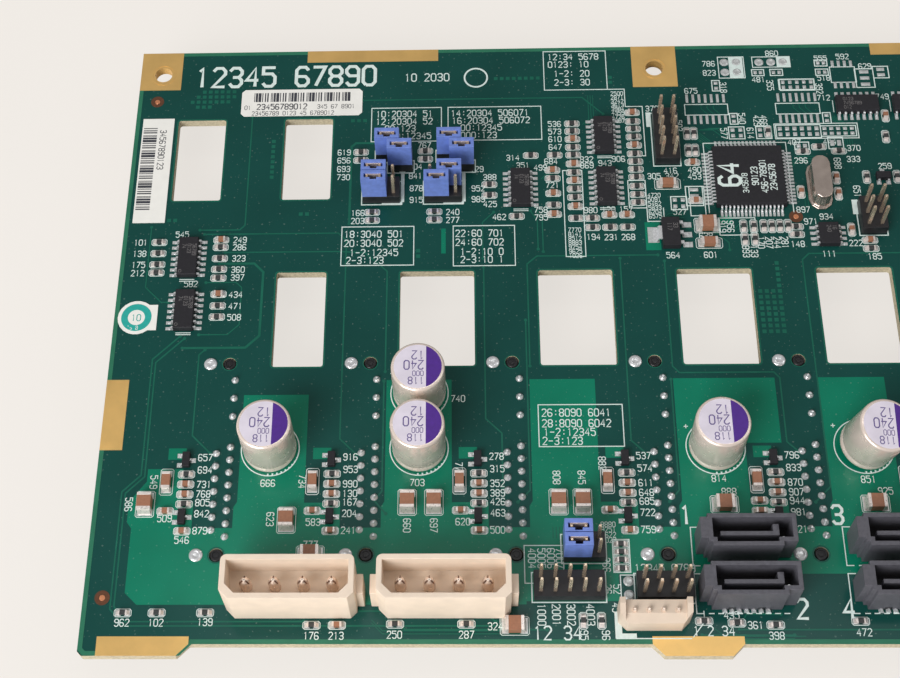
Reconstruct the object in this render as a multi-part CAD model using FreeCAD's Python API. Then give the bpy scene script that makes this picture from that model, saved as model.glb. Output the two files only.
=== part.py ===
import FreeCAD, Part
import math
import os

# Drive backplane board, eight bays, component side up, resting on its eight drive receptacles.
# Millimetres. Places on the board are given as (x, v): x from the left edge, v down from the top edge.
# The lower part of the layout hangs on the bay line, and its v values are measured down from that line.
# The model's origin is under the middle of the outline, at the mouths of the drive receptacles.

# Board
BOARD_WIDTH = 218.6
BOARD_DEPTH = 132.5
TAB_DEPTH = 2.1
BOARD_THICKNESS = 2.0
CORNER_CHAMFER = 0.8
CORNER_TAB_LENGTH = 19.7
CENTRE_TAB_LENGTH = 16.0
CENTRE_X = BOARD_WIDTH / 2
EDGE_V = BOARD_DEPTH - TAB_DEPTH

# Gold-plated ground lands along the edges
LAND_THICKNESS = 0.05
MOUNT_HOLE_RADIUS = 1.95
MOUNT_HOLE_X = 4.85
MOUNT_HOLE_V = 5.8
CORNER_LAND = (8.8, 9.8)
CENTRE_LAND = (9.4, 10.6)
STRIP_LAND = (28.0, 3.0)
STRIP_LAND_X = 35.6
SIDE_LAND = (4.3, 14.7)
SIDE_LAND_V = 78.4
TAB_LAND_DEPTH = 3.5
CORNER_TAB_LAND_X = 3.3

# Bays
BAY_PITCH = 27.2
FIRST_BAY_X = 23.5
BAY_COUNT = int((BOARD_WIDTH - FIRST_BAY_X) // BAY_PITCH) + 1
BAY_TO_EDGE = 38.0
BAY_V = BOARD_DEPTH - BAY_TO_EDGE

# Ventilation windows
WINDOW_CORNER = 0.5
LOW_WINDOW_V = 54.9
LOW_WINDOW_TO_BAY = 18.7
LOW_WINDOW_DEPTH = BAY_V - LOW_WINDOW_TO_BAY - LOW_WINDOW_V
LOW_WINDOW_WIDTH = 14.6
LOW_WINDOW_OFFSET = 5.5
FIRST_WINDOW_WIDTH = 9.9
FIRST_WINDOW_OFFSET = 8.1
HIGH_WINDOW_V = 17.8
HIGH_WINDOW_DEPTH = 19.9
HIGH_WINDOW_WIDTH = 10.0
HIGH_WINDOW_X = (9.1, 31.6)

# Drive receptacles under the board, mouths down
RECEPTACLE_LENGTH = 46.0
RECEPTACLE_WIDTH = 7.6
RECEPTACLE_HEIGHT = 8.5
RECEPTACLE_BACK = 4.9
RECEPTACLE_CHAMFER = 0.8
SLOT_WIDTH = 2.3
SLOT_DEPTH = 5.6
SLOT_MARGIN = 1.4
KEY_LENGTH = 1.3
KEY_REACH = 1.7
GUIDE_WIDTH = 3.4
GUIDE_LENGTH = 2.4
GUIDE_INSET = 1.4
PEG_RADIUS = 1.15
PEG_CLEARANCE = 0.15
PEG_SPACING = 38.8
PEG_SHORT = 0.15
CONTACT_PITCH = 1.27
SIGNAL_CONTACTS = 7
POWER_CONTACTS = 15
SIGNAL_TO_POWER = 6.35
GROUND_STEP = 3
TAIL_ROW_STEP = 2.6
TAIL_ROW_X = 1.3
TAIL_WIDTH = 1.3
TAIL_HEIGHT = 0.9
LOCK_OFFSET = 3.7
LOCK_RADIUS = 1.2
LOCK_HEIGHT = 0.35

# Radial polymer capacitors
CAN_RADIUS = 5.0
CAN_HEIGHT = 11.0
CAN_BEVEL = 0.45
SEAL_RADIUS = 4.3
SEAL_HEIGHT = 0.4
CAN_RISE = 1.5
UPPER_CAN_RISE = 12.9
FIRST_CAN_OFFSET = 8.8
SECOND_CAN_OFFSET = 9.5
PORT_CAN_OFFSET = 10.1
LEANING_CAN_BAY = 4
LEAN_DEG = 10.0
LEAN_HEADING_DEG = -35.0

# Four-pin power headers
POWER_BAYS = 2
POWER_OFFSET = 14.3
POWER_DROP = 27.25
POWER_LENGTH = 23.4
POWER_DEPTH = 8.0
POWER_HEIGHT = 11.2
POWER_WALL = 1.0
POWER_FLOOR = 5.1
POWER_KEY = 1.7
POWER_CORNER = 1.1
POWER_CHAMFER = 1.6
POWER_PIN_PITCH = 5.08
POWER_PIN_RADIUS = 1.05
POWER_PIN_HEIGHT = 9.1
POWER_PIN_POINT = 0.6
POWER_LUG = (1.3, 3.6, 7.0)
POWER_LUG_ENDS = ((1,), (-1, 1))

# Seven-contact serial ports, two to a bay
PORT_LENGTH = 15.5
PORT_DEPTH = 5.2
PORT_HEIGHT = 8.5
PORT_WALL = 0.8
PORT_FLOOR = 2.2
PORT_WING = (1.3, 3.9)
PORT_BUMP = (12.3, 0.8)
PORT_BUMP_SHIFT = -0.9
PORT_OFFSET = 13.95
PORT_DROPS = (17.5, 26.3)
FIRST_PORT_BAY = 3
TONGUE_LENGTH = 10.3
TONGUE_THICKNESS = 0.8
TONGUE_SHIFT = -0.4
TONGUE_FORWARD = 0.8
TONGUE_DROP = 0.9
TONGUE_TIP = (1.1, 1.3)

# Pin headers on the 2.54 grid, with their blue shunts
# Each header: top left pin x, v, columns, rows, empty places
GRID = 2.54
PIN_WIDTH = 0.64
PIN_TOP = 8.4
BASE_HEIGHT = 2.5
BASE_MARGIN = 0.06
DEBUG_HEADER = (109.2, 18.9, 2, 5, ())
PROGRAM_HEADER = (148.8, 41.0, 2, 3, ())
ACTIVITY_HEADER = (82.0, BAY_V + 24.3, 5, 2, ((4, 0),))
SIDEBAND_HEADER = (100.2, BAY_V + 24.5, 4, 2, ())
SERIAL_ID_HEADER = (87.45, BAY_V + 17.1, 3, 2, ())
JUMPER_GRID_X = (49.6, 62.15)
JUMPER_GRID_V = 27.5
BLOCK_ROW_V = JUMPER_GRID_V + 3 * GRID
SHUNT_LENGTH = 5.0
SHUNT_DEPTH = 2.42
SHUNT_HEIGHT = 6.3
SHUNT_SLOT = (3.7, 0.95)
SHUNT_NOTCH = (1.3, 0.5, 1.5)
CLIP_THICKNESS = 0.14
CLIP_LENGTH = 3.1
CLIP_DROP = 0.3
CLIP_HEIGHT = 2.6

# Four-pin wire header
WIRE_SPOT = (101.7, BAY_V + 31.5)
WIRE_LENGTH = 12.6
WIRE_DEPTH = 4.0
WIRE_HEIGHT = 6.6
WIRE_WALL = 1.0
WIRE_WALL_TOP = 1.1
WIRE_SLAB = 5.1
WIRE_SHELF = (1.6, 4.2)
WIRE_CORNER = 1.5
WIRE_PITCH = 2.5
WIRE_PIN_TOP = 6.1

# Chips: body length, width and height, and the quad flat pack's leads
SMALL_OUTLINE = (8.7, 3.9, 1.5)
SHORT_OUTLINE = (4.9, 3.9, 1.5)
TINY_OUTLINE = (2.9, 1.6, 1.1)
QUAD_FLAT = (14.0, 14.0, 1.6)
CHIP_BEVEL = 0.12
LEAD_PITCH = 0.8
LEADS_PER_SIDE = 16
LEAD_REACH = 1.45
LEAD_WIDTH = 0.34
LEAD_THICKNESS = 0.15
LEAD_ROOT = 0.75
LOGIC_TALL = ((13.7, 51.5), (13.9, 63.5), (80.4, 35.8), (97.8, 23.2), (97.8, 35.7))
LOGIC_WIDE = ((150.4, 16.2), (162.1, 16.2))
MEMORY_SPOT = (141.1, 47.6)
QUAD_SPOT = (126.6, 33.8)
RESET_SPOT = (153.6, 33.8)
REGULATOR_SPOT = (110.0, 47.0)
REGULATOR_BODY = (3.5, 6.5, 1.7)
REGULATOR_TAB = (2.0, 3.0, 0.3)
REGULATOR_LEAD = (2.0, 0.75, 0.3)
REGULATOR_PITCH = 2.3

# Crystal
CRYSTAL_SPOT = (140.5, 36.0)
CRYSTAL_CAN = (10.2, 3.7)
CRYSTAL_FLANGE = (11.3, 4.8)
CRYSTAL_FLANGE_HEIGHT = 0.5
CRYSTAL_HEIGHT = 4.1

# Chip parts: length, width, height
BULK_CERAMIC = (3.3, 2.6, 2.0)
LONG_CERAMIC = (3.2, 1.6, 1.3)
DIODE = (2.9, 1.4, 1.05)
BULK_TALL = ((9.7, 9.5), (36.0, 12.7), (58.1, 9.3), (63.0, 9.3), (85.8, 9.3), (90.2, 9.3))
BULK_WIDE = ((40.6, 19.4), (77.3, 32.6))
BULK_UPPER = (117.4, 44.9)
PORT_BAY_BULK = (10.8, 9.9)
LONG_WIDE = ((110.2, 35.0), (117.5, 49.0))
BAY_LONG = (-10.2, 5.1)
BAY_DIODES = ((-6.8, 0.8), (-6.8, 12.1))

# Paper labels: x, v, length along x, length along v
LABEL_THICKNESS = 0.1
LABEL_CORNER = 0.7
WIDE_LABEL = (34.85, 13.5, 25.6, 6.8)
TALL_LABEL = (4.85, 30.1, 6.6, 25.7)
ROUND_LABEL = (4.4, 64.8)
ROUND_LABEL_RADIUS = 3.7
ROUND_LABEL_TAB = (8.5, 5.6)

# Small round pieces are drawn with eight flats, and the crystal and labels with a few more
FLATS = 8
END_FLATS = 5

# Heights of the board's faces
BOARD_BOTTOM = RECEPTACLE_HEIGHT
BOARD_TOP = BOARD_BOTTOM + BOARD_THICKNESS

UP = FreeCAD.Vector(0, 0, 1)


def spot(x, v, z=BOARD_TOP):
    """A place on the board as a point of the model."""
    return FreeCAD.Vector(x - CENTRE_X, BOARD_DEPTH / 2 - v, z)


def block(x, v, size, z=BOARD_TOP):
    """A box centred on (x, v) with its foot at z."""
    length, depth, height = size
    return Part.makeBox(length, depth, height, spot(x - length / 2, v + depth / 2, z))


def rod(x, v, radius, height, z=BOARD_TOP):
    """An upright cylinder on (x, v) with its foot at z."""
    return Part.makeCylinder(radius, height, spot(x, v, z), UP)


def post(x, v, radius, height, z=BOARD_TOP):
    """A small round piece with flats, as wide across its corners as the round one."""
    turns = [(step + 0.5) * 2 * math.pi / FLATS for step in range(FLATS)]
    return prism([(x + radius * math.cos(turn), v + radius * math.sin(turn)) for turn in turns], height, z)


def prism(points, height, z=BOARD_TOP):
    """An outline of (x, v) points raised from z."""
    wire = Part.makePolygon([spot(x, v, z) for x, v in points + points[:1]])
    return Part.Face(wire).extrude(FreeCAD.Vector(0, 0, height))


def cornered(x, v, size, corner, z=BOARD_TOP):
    """A box centred on (x, v) with small chamfers at its upright corners."""
    length, depth, height = size
    left, right = x - length / 2, x + length / 2
    top, bottom = v - depth / 2, v + depth / 2
    points = [
        (left, top + corner),
        (left + corner, top),
        (right - corner, top),
        (right, top + corner),
        (right, bottom - corner),
        (right - corner, bottom),
        (left + corner, bottom),
        (left, bottom - corner),
    ]
    return prism(points, height, z)


def joined(shapes):
    """One solid from pieces that touch."""
    return shapes[0].multiFuse(shapes[1:]).removeSplitter()


def mirrored(points):
    """An outline's points seen from the board's other end, in the same turning sense."""
    return [(BOARD_WIDTH - x, v) for x, v in reversed(points)]


def write(name, solids):
    """Writes one sub-part as a group of separate solids."""
    Part.makeCompound(solids).exportStep("parts/" + name + ".step")


def bay_x(bay):
    """The line through a bay's two locating pegs."""
    return FIRST_BAY_X + bay * BAY_PITCH


def mount_holes():
    """The three screw holes along the top edge."""
    return (MOUNT_HOLE_X, CENTRE_X, BOARD_WIDTH - MOUNT_HOLE_X)


def outline():
    """The board's edge: a straight top, and three tabs along the bottom."""
    left = [
        (CENTRE_X - CENTRE_TAB_LENGTH / 2 + TAB_DEPTH, BOARD_DEPTH),
        (CENTRE_X - CENTRE_TAB_LENGTH / 2, EDGE_V),
        (CORNER_TAB_LENGTH, EDGE_V),
        (CORNER_TAB_LENGTH - TAB_DEPTH, BOARD_DEPTH),
        (CORNER_CHAMFER, BOARD_DEPTH),
        (0, BOARD_DEPTH - CORNER_CHAMFER),
        (0, 0),
    ]
    return left + mirrored(left)


def windows():
    """Every ventilation window as (left x, top v, width, depth)."""
    low = [(bay_x(0) + FIRST_WINDOW_OFFSET, LOW_WINDOW_V, FIRST_WINDOW_WIDTH, LOW_WINDOW_DEPTH)]
    for bay in range(1, BAY_COUNT - 1):
        low.append((bay_x(bay) + LOW_WINDOW_OFFSET, LOW_WINDOW_V, LOW_WINDOW_WIDTH, LOW_WINDOW_DEPTH))
    high = [(x, HIGH_WINDOW_V, HIGH_WINDOW_WIDTH, HIGH_WINDOW_DEPTH) for x in HIGH_WINDOW_X]
    return low + high


def port_bays():
    """The bays that have serial ports: all from the fourth to the last but one."""
    return range(FIRST_PORT_BAY, BAY_COUNT - 1)


def hung(places):
    """Places measured down from the bay line, as places on the board."""
    return [(x, BAY_V + drop) for x, drop in places]


def peg_places(bay):
    """The two pegs of one bay's receptacle."""
    return [(bay_x(bay), BAY_V + side * PEG_SPACING / 2) for side in (-1, 1)]


def board():
    """The laminate with its windows, screw holes and peg holes."""
    plate = prism(outline(), BOARD_THICKNESS, BOARD_BOTTOM)
    cuts = []
    for left, top, width, depth in windows():
        size = (width, depth, BOARD_THICKNESS)
        cuts.append(cornered(left + width / 2, top + depth / 2, size, WINDOW_CORNER, BOARD_BOTTOM))
    for x in mount_holes():
        cuts.append(rod(x, MOUNT_HOLE_V, MOUNT_HOLE_RADIUS, BOARD_THICKNESS, BOARD_BOTTOM))
    for bay in range(BAY_COUNT):
        for x, v in peg_places(bay):
            cuts.append(post(x, v, PEG_RADIUS + PEG_CLEARANCE, BOARD_THICKNESS, BOARD_BOTTOM))
    return plate.cut(cuts)


def land(left, top, width, depth):
    """One plated land: a rectangle kept inside the board's edge."""
    sheet = block(left + width / 2, top + depth / 2, (width, depth, LAND_THICKNESS))
    return sheet.common(prism(outline(), LAND_THICKNESS, BOARD_TOP))


def edge_lands():
    """Gold-plated ground lands at the corners, the edges and the tabs."""
    tab_top = BOARD_DEPTH - TAB_LAND_DEPTH
    tab_width = CORNER_TAB_LENGTH - CORNER_TAB_LAND_X
    lands = [
        land(0, 0, *CORNER_LAND),
        land(BOARD_WIDTH - CORNER_LAND[0], 0, *CORNER_LAND),
        land(CENTRE_X - CENTRE_LAND[0] / 2, 0, *CENTRE_LAND),
        land(STRIP_LAND_X, 0, *STRIP_LAND),
        land(BOARD_WIDTH - STRIP_LAND_X - STRIP_LAND[0], 0, *STRIP_LAND),
        land(0, SIDE_LAND_V, *SIDE_LAND),
        land(CORNER_TAB_LAND_X, tab_top, tab_width, TAB_LAND_DEPTH),
        land(BOARD_WIDTH - CORNER_TAB_LENGTH, tab_top, tab_width, TAB_LAND_DEPTH),
        land(CENTRE_X - CENTRE_TAB_LENGTH / 2, tab_top, CENTRE_TAB_LENGTH, TAB_LAND_DEPTH),
    ]
    holes = [rod(x, MOUNT_HOLE_V, MOUNT_HOLE_RADIUS, LAND_THICKNESS) for x in mount_holes()]
    return [piece.cut(holes) for piece in lands]


def contact_ends():
    """v of the first signal contact, the last signal, the first power and the last power contact."""
    signal = (SIGNAL_CONTACTS - 1) * CONTACT_PITCH
    power = (POWER_CONTACTS - 1) * CONTACT_PITCH
    first = BAY_V - (signal + SIGNAL_TO_POWER + power) / 2
    return first, first + signal, first + signal + SIGNAL_TO_POWER, BAY_V + (BAY_V - first)


def receptacle(bay):
    """A drive receptacle: a keyed slot between two guide pockets, and two pegs into the board."""
    x = bay_x(bay) - RECEPTACLE_BACK + RECEPTACLE_WIDTH / 2
    body = block(x, BAY_V, (RECEPTACLE_WIDTH, RECEPTACLE_LENGTH, RECEPTACLE_HEIGHT), 0)
    mouth = [edge for edge in body.Edges if edge.BoundBox.ZMax < 0.01]
    body = body.makeChamfer(RECEPTACLE_CHAMFER, mouth)
    slot_x = bay_x(bay)
    first, _, _, last = contact_ends()
    slot_length = last - first + 2 * SLOT_MARGIN
    cuts = [block(slot_x, BAY_V, (SLOT_WIDTH, slot_length, SLOT_DEPTH), 0)]
    for side in (-1, 1):
        key_v = BAY_V + side * (slot_length - KEY_LENGTH) / 2
        key_x = slot_x - (SLOT_WIDTH + KEY_REACH) / 2
        cuts.append(block(key_x, key_v, (KEY_REACH, KEY_LENGTH, SLOT_DEPTH), 0))
        guide_v = BAY_V + side * (RECEPTACLE_LENGTH / 2 - GUIDE_INSET - GUIDE_LENGTH / 2)
        cuts.append(block(x, guide_v, (GUIDE_WIDTH, GUIDE_LENGTH, SLOT_DEPTH), 0))
    body = body.cut(cuts)
    peg_height = BOARD_THICKNESS - PEG_SHORT
    pegs = [post(px, pv, PEG_RADIUS, peg_height, BOARD_BOTTOM) for px, pv in peg_places(bay)]
    return joined([body] + pegs)


def tail_places(bay):
    """Where one bay's contacts come through: two staggered rows, and three signal grounds."""
    first, _, power, last = contact_ends()
    right = bay_x(bay) + TAIL_ROW_X
    places = [(right, first + CONTACT_PITCH * step) for step in range(0, SIGNAL_CONTACTS, GROUND_STEP)]
    for step in range(POWER_CONTACTS):
        column = right - (step % 2) * TAIL_ROW_STEP
        places.append((column, power + step * CONTACT_PITCH))
    return places


def tail(x, v):
    """A soldered tail: a low four-sided point."""
    half = TAIL_WIDTH / 2
    corners = [spot(x + i * half, v + j * half) for i, j in ((-1, -1), (1, -1), (1, 1), (-1, 1))]
    tip = spot(x, v, BOARD_TOP + TAIL_HEIGHT)
    faces = [Part.Face(Part.makePolygon(corners + corners[:1]))]
    for here, there in zip(corners, corners[1:] + corners[:1]):
        faces.append(Part.Face(Part.makePolygon([here, there, tip, here])))
    return Part.Solid(Part.Shell(faces))


def lock_posts():
    """Metal retention posts of the receptacles, soldered from above."""
    return [
        post(x - LOCK_OFFSET, v, LOCK_RADIUS, LOCK_HEIGHT)
        for bay in range(BAY_COUNT)
        for x, v in peg_places(bay)
    ]


def leaned(shape, x, v):
    """The shape leaning away from (x, v), turned about the foot of its rim."""
    heading = math.radians(LEAN_HEADING_DEG)
    towards = FreeCAD.Vector(math.cos(heading), math.sin(heading), 0)
    pivot = spot(x, v) + towards * SEAL_RADIUS
    turned = shape.copy()
    turned.rotate(pivot, UP.cross(towards), LEAN_DEG)
    return turned


def can_places():
    """Every upright can."""
    v = BAY_V - CAN_RISE
    second = bay_x(1) + SECOND_CAN_OFFSET
    places = [(bay_x(0) + FIRST_CAN_OFFSET, v), (second, v), (second, BAY_V - UPPER_CAN_RISE)]
    return places + [(bay_x(bay) + PORT_CAN_OFFSET, v) for bay in port_bays() if bay != LEANING_CAN_BAY]


def leaning_can_place():
    """The can that leans."""
    return bay_x(LEANING_CAN_BAY) + PORT_CAN_OFFSET, BAY_V - CAN_RISE


def can(x, v):
    """An aluminium can with a bevelled rim."""
    foot = BOARD_TOP + SEAL_HEIGHT
    body = rod(x, v, CAN_RADIUS, CAN_HEIGHT, foot)
    rim = [edge for edge in body.Edges if edge.Closed and edge.BoundBox.ZMin > foot + CAN_HEIGHT / 2]
    return body.makeChamfer(CAN_BEVEL, rim)


def seal(x, v):
    """The rubber seal under a can."""
    return post(x, v, SEAL_RADIUS, SEAL_HEIGHT)


def power_places():
    """The middle of every power header."""
    return [(bay_x(bay) + POWER_OFFSET, BAY_V + POWER_DROP) for bay in range(POWER_BAYS)]


def power_pin_places(x, v):
    """The four pins of a power header."""
    return [(x + (step - 1.5) * POWER_PIN_PITCH, v) for step in range(4)]


def power_housing(x, v, lug_ends):
    """A nylon shroud with keyed corners, chamfered front and lugs at its ends."""
    half_x = POWER_LENGTH / 2
    half_v = POWER_DEPTH / 2
    shell = prism(
        [
            (x - half_x, v - half_v),
            (x + half_x, v - half_v),
            (x + half_x, v + half_v - POWER_CORNER),
            (x + half_x - POWER_CORNER, v + half_v),
            (x - half_x + POWER_CHAMFER, v + half_v),
            (x - half_x, v + half_v - POWER_CHAMFER),
        ],
        POWER_HEIGHT,
        BOARD_TOP,
    )
    rear = [edge for edge in shell.Edges if edge.BoundBox.YMin > spot(x, v).y and edge.BoundBox.ZLength > 1]
    shell = shell.makeFillet(POWER_CORNER, rear)
    inner_x = half_x - POWER_WALL
    inner_v = half_v - POWER_WALL
    socket = prism(
        [
            (x - inner_x, v - inner_v),
            (x + inner_x, v - inner_v),
            (x + inner_x, v + inner_v - POWER_KEY),
            (x + inner_x - POWER_KEY, v + inner_v),
            (x - inner_x + POWER_KEY, v + inner_v),
            (x - inner_x, v + inner_v - POWER_KEY),
        ],
        POWER_HEIGHT - POWER_FLOOR,
        BOARD_TOP + POWER_FLOOR,
    )
    bores = [post(px, pv, POWER_PIN_RADIUS, POWER_FLOOR) for px, pv in power_pin_places(x, v)]
    lugs = [block(x + side * (half_x + POWER_LUG[0] / 2), v, POWER_LUG) for side in lug_ends]
    return joined([shell] + lugs).cut([socket] + bores)


def power_pin(x, v):
    """A round pin with a tapered point."""
    pin = post(x, v, POWER_PIN_RADIUS, POWER_PIN_HEIGHT)
    top = BOARD_TOP + POWER_PIN_HEIGHT
    rim = [edge for edge in pin.Edges if edge.BoundBox.ZMin > top - 0.01]
    return pin.makeChamfer(POWER_PIN_POINT, rim)


def port_places():
    """The middle of every serial port's body."""
    return [(bay_x(bay) + PORT_OFFSET, BAY_V + drop) for bay in port_bays() for drop in PORT_DROPS]


def port_housing(x, v):
    """A serial port: an open shroud around a keyed tongue."""
    wing_length, wing_depth = PORT_WING
    bump_length, bump_depth = PORT_BUMP
    bump_x = x + PORT_BUMP_SHIFT
    front = v + PORT_DEPTH / 2
    shell = joined(
        [
            block(x, v, (PORT_LENGTH, PORT_DEPTH, PORT_HEIGHT)),
            block(x - (PORT_LENGTH + wing_length) / 2, v, (wing_length, wing_depth, PORT_HEIGHT)),
            block(bump_x, front + bump_depth / 2, (bump_length, bump_depth, PORT_HEIGHT)),
        ]
    )
    depth = PORT_HEIGHT - PORT_FLOOR
    floor = BOARD_TOP + PORT_FLOOR
    pocket = block(x, v, (PORT_LENGTH - 2 * PORT_WALL, PORT_DEPTH - 2 * PORT_WALL, depth), floor)
    bump_wall = bump_length - 2 * PORT_WALL
    relief = block(bump_x, front - PORT_WALL + bump_depth / 2, (bump_wall, bump_depth, depth), floor)
    tongue_x = x + TONGUE_SHIFT
    tongue_v = v + TONGUE_FORWARD
    tongue_height = depth - TONGUE_DROP
    tip_length, tip_depth = TONGUE_TIP
    tip_x = tongue_x + (TONGUE_LENGTH - tip_length) / 2
    tip_v = tongue_v - (TONGUE_THICKNESS + tip_depth) / 2
    tongue = block(tongue_x, tongue_v, (TONGUE_LENGTH, TONGUE_THICKNESS, tongue_height), floor)
    tip = block(tip_x, tip_v, (tip_length, tip_depth, tongue_height), floor)
    return joined([shell.cut([pocket, relief]), tongue, tip])


def grid(x, v, columns, rows, bare=()):
    """Pin places from the top left pin (x, v), without the (column, row) places in bare."""
    return [
        (x + column * GRID, v + row * GRID)
        for row in range(rows)
        for column in range(columns)
        if (column, row) not in bare
    ]


def headers():
    """All pin headers on the board."""
    left, right = JUMPER_GRID_X
    small = [
        (left + GRID, JUMPER_GRID_V, 2, 1, ()),
        (left + 2 * GRID, JUMPER_GRID_V + GRID, 2, 1, ()),
        (right + GRID, JUMPER_GRID_V, 2, 1, ()),
        (right + 2 * GRID, JUMPER_GRID_V + GRID, 2, 1, ()),
        (left, BLOCK_ROW_V, 3, 2, ()),
        (right, BLOCK_ROW_V, 3, 2, ()),
    ]
    return small + [DEBUG_HEADER, PROGRAM_HEADER, ACTIVITY_HEADER, SIDEBAND_HEADER, SERIAL_ID_HEADER]


def shunt_places():
    """The middle of every shunt, halfway between the two pins it joins."""
    left, right = JUMPER_GRID_X
    block_x, block_v = SERIAL_ID_HEADER[:2]
    firsts = [
        (left + GRID, JUMPER_GRID_V),
        (left + 2 * GRID, JUMPER_GRID_V + GRID),
        (right + GRID, JUMPER_GRID_V),
        (right + 2 * GRID, JUMPER_GRID_V + GRID),
        (left, BLOCK_ROW_V),
        (left, BLOCK_ROW_V + GRID),
        (right + GRID, BLOCK_ROW_V),
        (right, BLOCK_ROW_V + GRID),
        (block_x, block_v),
        (block_x, block_v + GRID),
    ]
    return [(x + GRID / 2, v) for x, v in firsts]


def header_base(x, v, columns, rows):
    """A header's moulded base."""
    length = columns * GRID - 2 * BASE_MARGIN
    depth = rows * GRID - 2 * BASE_MARGIN
    middle_x = x + (columns - 1) * GRID / 2
    middle_v = v + (rows - 1) * GRID / 2
    return block(middle_x, middle_v, (length, depth, BASE_HEIGHT))


def shunt(x, v):
    """A jumper shunt: open slot over both pins and a notch in the front of its top."""
    foot = BOARD_TOP + BASE_HEIGHT
    body = block(x, v, (SHUNT_LENGTH, SHUNT_DEPTH, SHUNT_HEIGHT), foot)
    slot = block(x, v, (SHUNT_SLOT[0], SHUNT_SLOT[1], SHUNT_HEIGHT), foot)
    notch_v = v + (SHUNT_SLOT[1] + SHUNT_NOTCH[1]) / 2
    notch = block(x, notch_v, SHUNT_NOTCH, foot + SHUNT_HEIGHT - SHUNT_NOTCH[2])
    return body.cut([slot, notch])


def clip(x, v):
    """The metal clip that shows in the top of a shunt."""
    back = v - SHUNT_SLOT[1] / 2 + CLIP_THICKNESS / 2
    top = BOARD_TOP + BASE_HEIGHT + SHUNT_HEIGHT - CLIP_DROP
    return block(x, back, (CLIP_LENGTH, CLIP_THICKNESS, CLIP_HEIGHT), top - CLIP_HEIGHT)


def wire_pin_places():
    """The four pins of the wire header."""
    x, v = WIRE_SPOT
    return [(x + (step - 1.5) * WIRE_PITCH, v) for step in range(4)]


def side_on(x, thickness, points):
    """A profile of (v, z) points, seen from the left, as thick as given to the right of x."""
    wire = Part.makePolygon([spot(x, v, z) for v, z in points + points[:1]])
    return Part.Face(wire).extrude(FreeCAD.Vector(thickness, 0, 0))


def wire_housing():
    """A nylon wire header: a slab with a sloping shelf at its front, between two sloping end walls."""
    x, v = WIRE_SPOT
    left, right = x - WIRE_LENGTH / 2, x + WIRE_LENGTH / 2
    back, front = v - WIRE_DEPTH / 2, v + WIRE_DEPTH / 2
    shelf_depth, shelf_height = WIRE_SHELF
    floor = BOARD_TOP + WIRE_SLAB
    top = BOARD_TOP + WIRE_HEIGHT
    slab_side = [
        (back, BOARD_TOP),
        (back, floor),
        (front - shelf_depth, floor),
        (front, BOARD_TOP + shelf_height),
        (front, BOARD_TOP),
    ]
    wall_side = [(back, BOARD_TOP), (back, top), (back + WIRE_WALL_TOP, top), (front, floor), (front, BOARD_TOP)]
    shell = joined(
        [
            side_on(left, WIRE_LENGTH, slab_side),
            side_on(left, WIRE_WALL, wall_side),
            side_on(right - WIRE_WALL, WIRE_WALL, wall_side),
        ]
    )
    corner = WIRE_CORNER
    inside = prism(
        [
            (left, back),
            (right, back),
            (right, front - corner),
            (right - corner, front),
            (left + corner, front),
            (left, front - corner),
        ],
        WIRE_HEIGHT,
        BOARD_TOP,
    )
    holes = [block(px, pv, (PIN_WIDTH, PIN_WIDTH, WIRE_SLAB)) for px, pv in wire_pin_places()]
    return shell.common(inside).cut(holes)


def chip_body(x, v, kind, tall):
    """A moulded chip body with a bevelled top."""
    length, width, height = kind[:3]
    size = (width, length, height) if tall else (length, width, height)
    body = block(x, v, size)
    rim = [edge for edge in body.Edges if edge.BoundBox.ZMin > BOARD_TOP + height - 0.01]
    return body.makeChamfer(CHIP_BEVEL, rim)


def lead(x, v, out_x, out_v):
    """One lead, sloping from the body's side at (x, v) down and out to the board."""
    side = FreeCAD.Vector(out_v, out_x, 0) * LEAD_WIDTH
    start = spot(x, v) - side * 0.5
    out = FreeCAD.Vector(out_x, -out_v, 0) * LEAD_REACH
    rise = FreeCAD.Vector(0, 0, LEAD_ROOT)
    skin = FreeCAD.Vector(0, 0, LEAD_THICKNESS)
    profile = [start + rise, start + rise + skin, start + out + skin, start + out]
    return Part.Face(Part.makePolygon(profile + profile[:1])).extrude(side)


def controller_leads():
    """The quad flat pack's four rows of leads."""
    x, v = QUAD_SPOT
    half = QUAD_FLAT[0] / 2
    leads = []
    for step in range(LEADS_PER_SIDE):
        along = (step - (LEADS_PER_SIDE - 1) / 2) * LEAD_PITCH
        for side in (-1, 1):
            leads.append(lead(x + side * half, v + along, side, 0))
            leads.append(lead(x + along, v + side * half, 0, side))
    return leads


def regulator_body():
    """The regulator's moulded body."""
    return block(*REGULATOR_SPOT, REGULATOR_BODY)


def regulator_leads():
    """The regulator's wide tab on the left and three leads on the right."""
    x, v = REGULATOR_SPOT
    half = REGULATOR_BODY[0] / 2
    pieces = [block(x - half - REGULATOR_TAB[0] / 2, v, REGULATOR_TAB)]
    for step in (-1, 0, 1):
        pieces.append(block(x + half + REGULATOR_LEAD[0] / 2, v + step * REGULATOR_PITCH, REGULATOR_LEAD))
    return pieces


def stadium(x, v, size, height, z=BOARD_TOP):
    """An upright block with half-round ends, longer along v."""
    length, width = size
    radius = width / 2
    reach = (length - width) / 2
    points = []
    for step in range(END_FLATS + 1):
        turn = math.pi * step / END_FLATS
        points.append((x + radius * math.cos(turn), v + reach + radius * math.sin(turn)))
    points += [(2 * x - px, 2 * v - pv) for px, pv in points]
    return prism(points, height, z)


def crystal():
    """The crystal's drawn can on its wider flange."""
    x, v = CRYSTAL_SPOT
    flange = stadium(x, v, CRYSTAL_FLANGE, CRYSTAL_FLANGE_HEIGHT)
    rise = CRYSTAL_HEIGHT - CRYSTAL_FLANGE_HEIGHT
    shell = stadium(x, v, CRYSTAL_CAN, rise, BOARD_TOP + CRYSTAL_FLANGE_HEIGHT)
    return joined([flange, shell])


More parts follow.
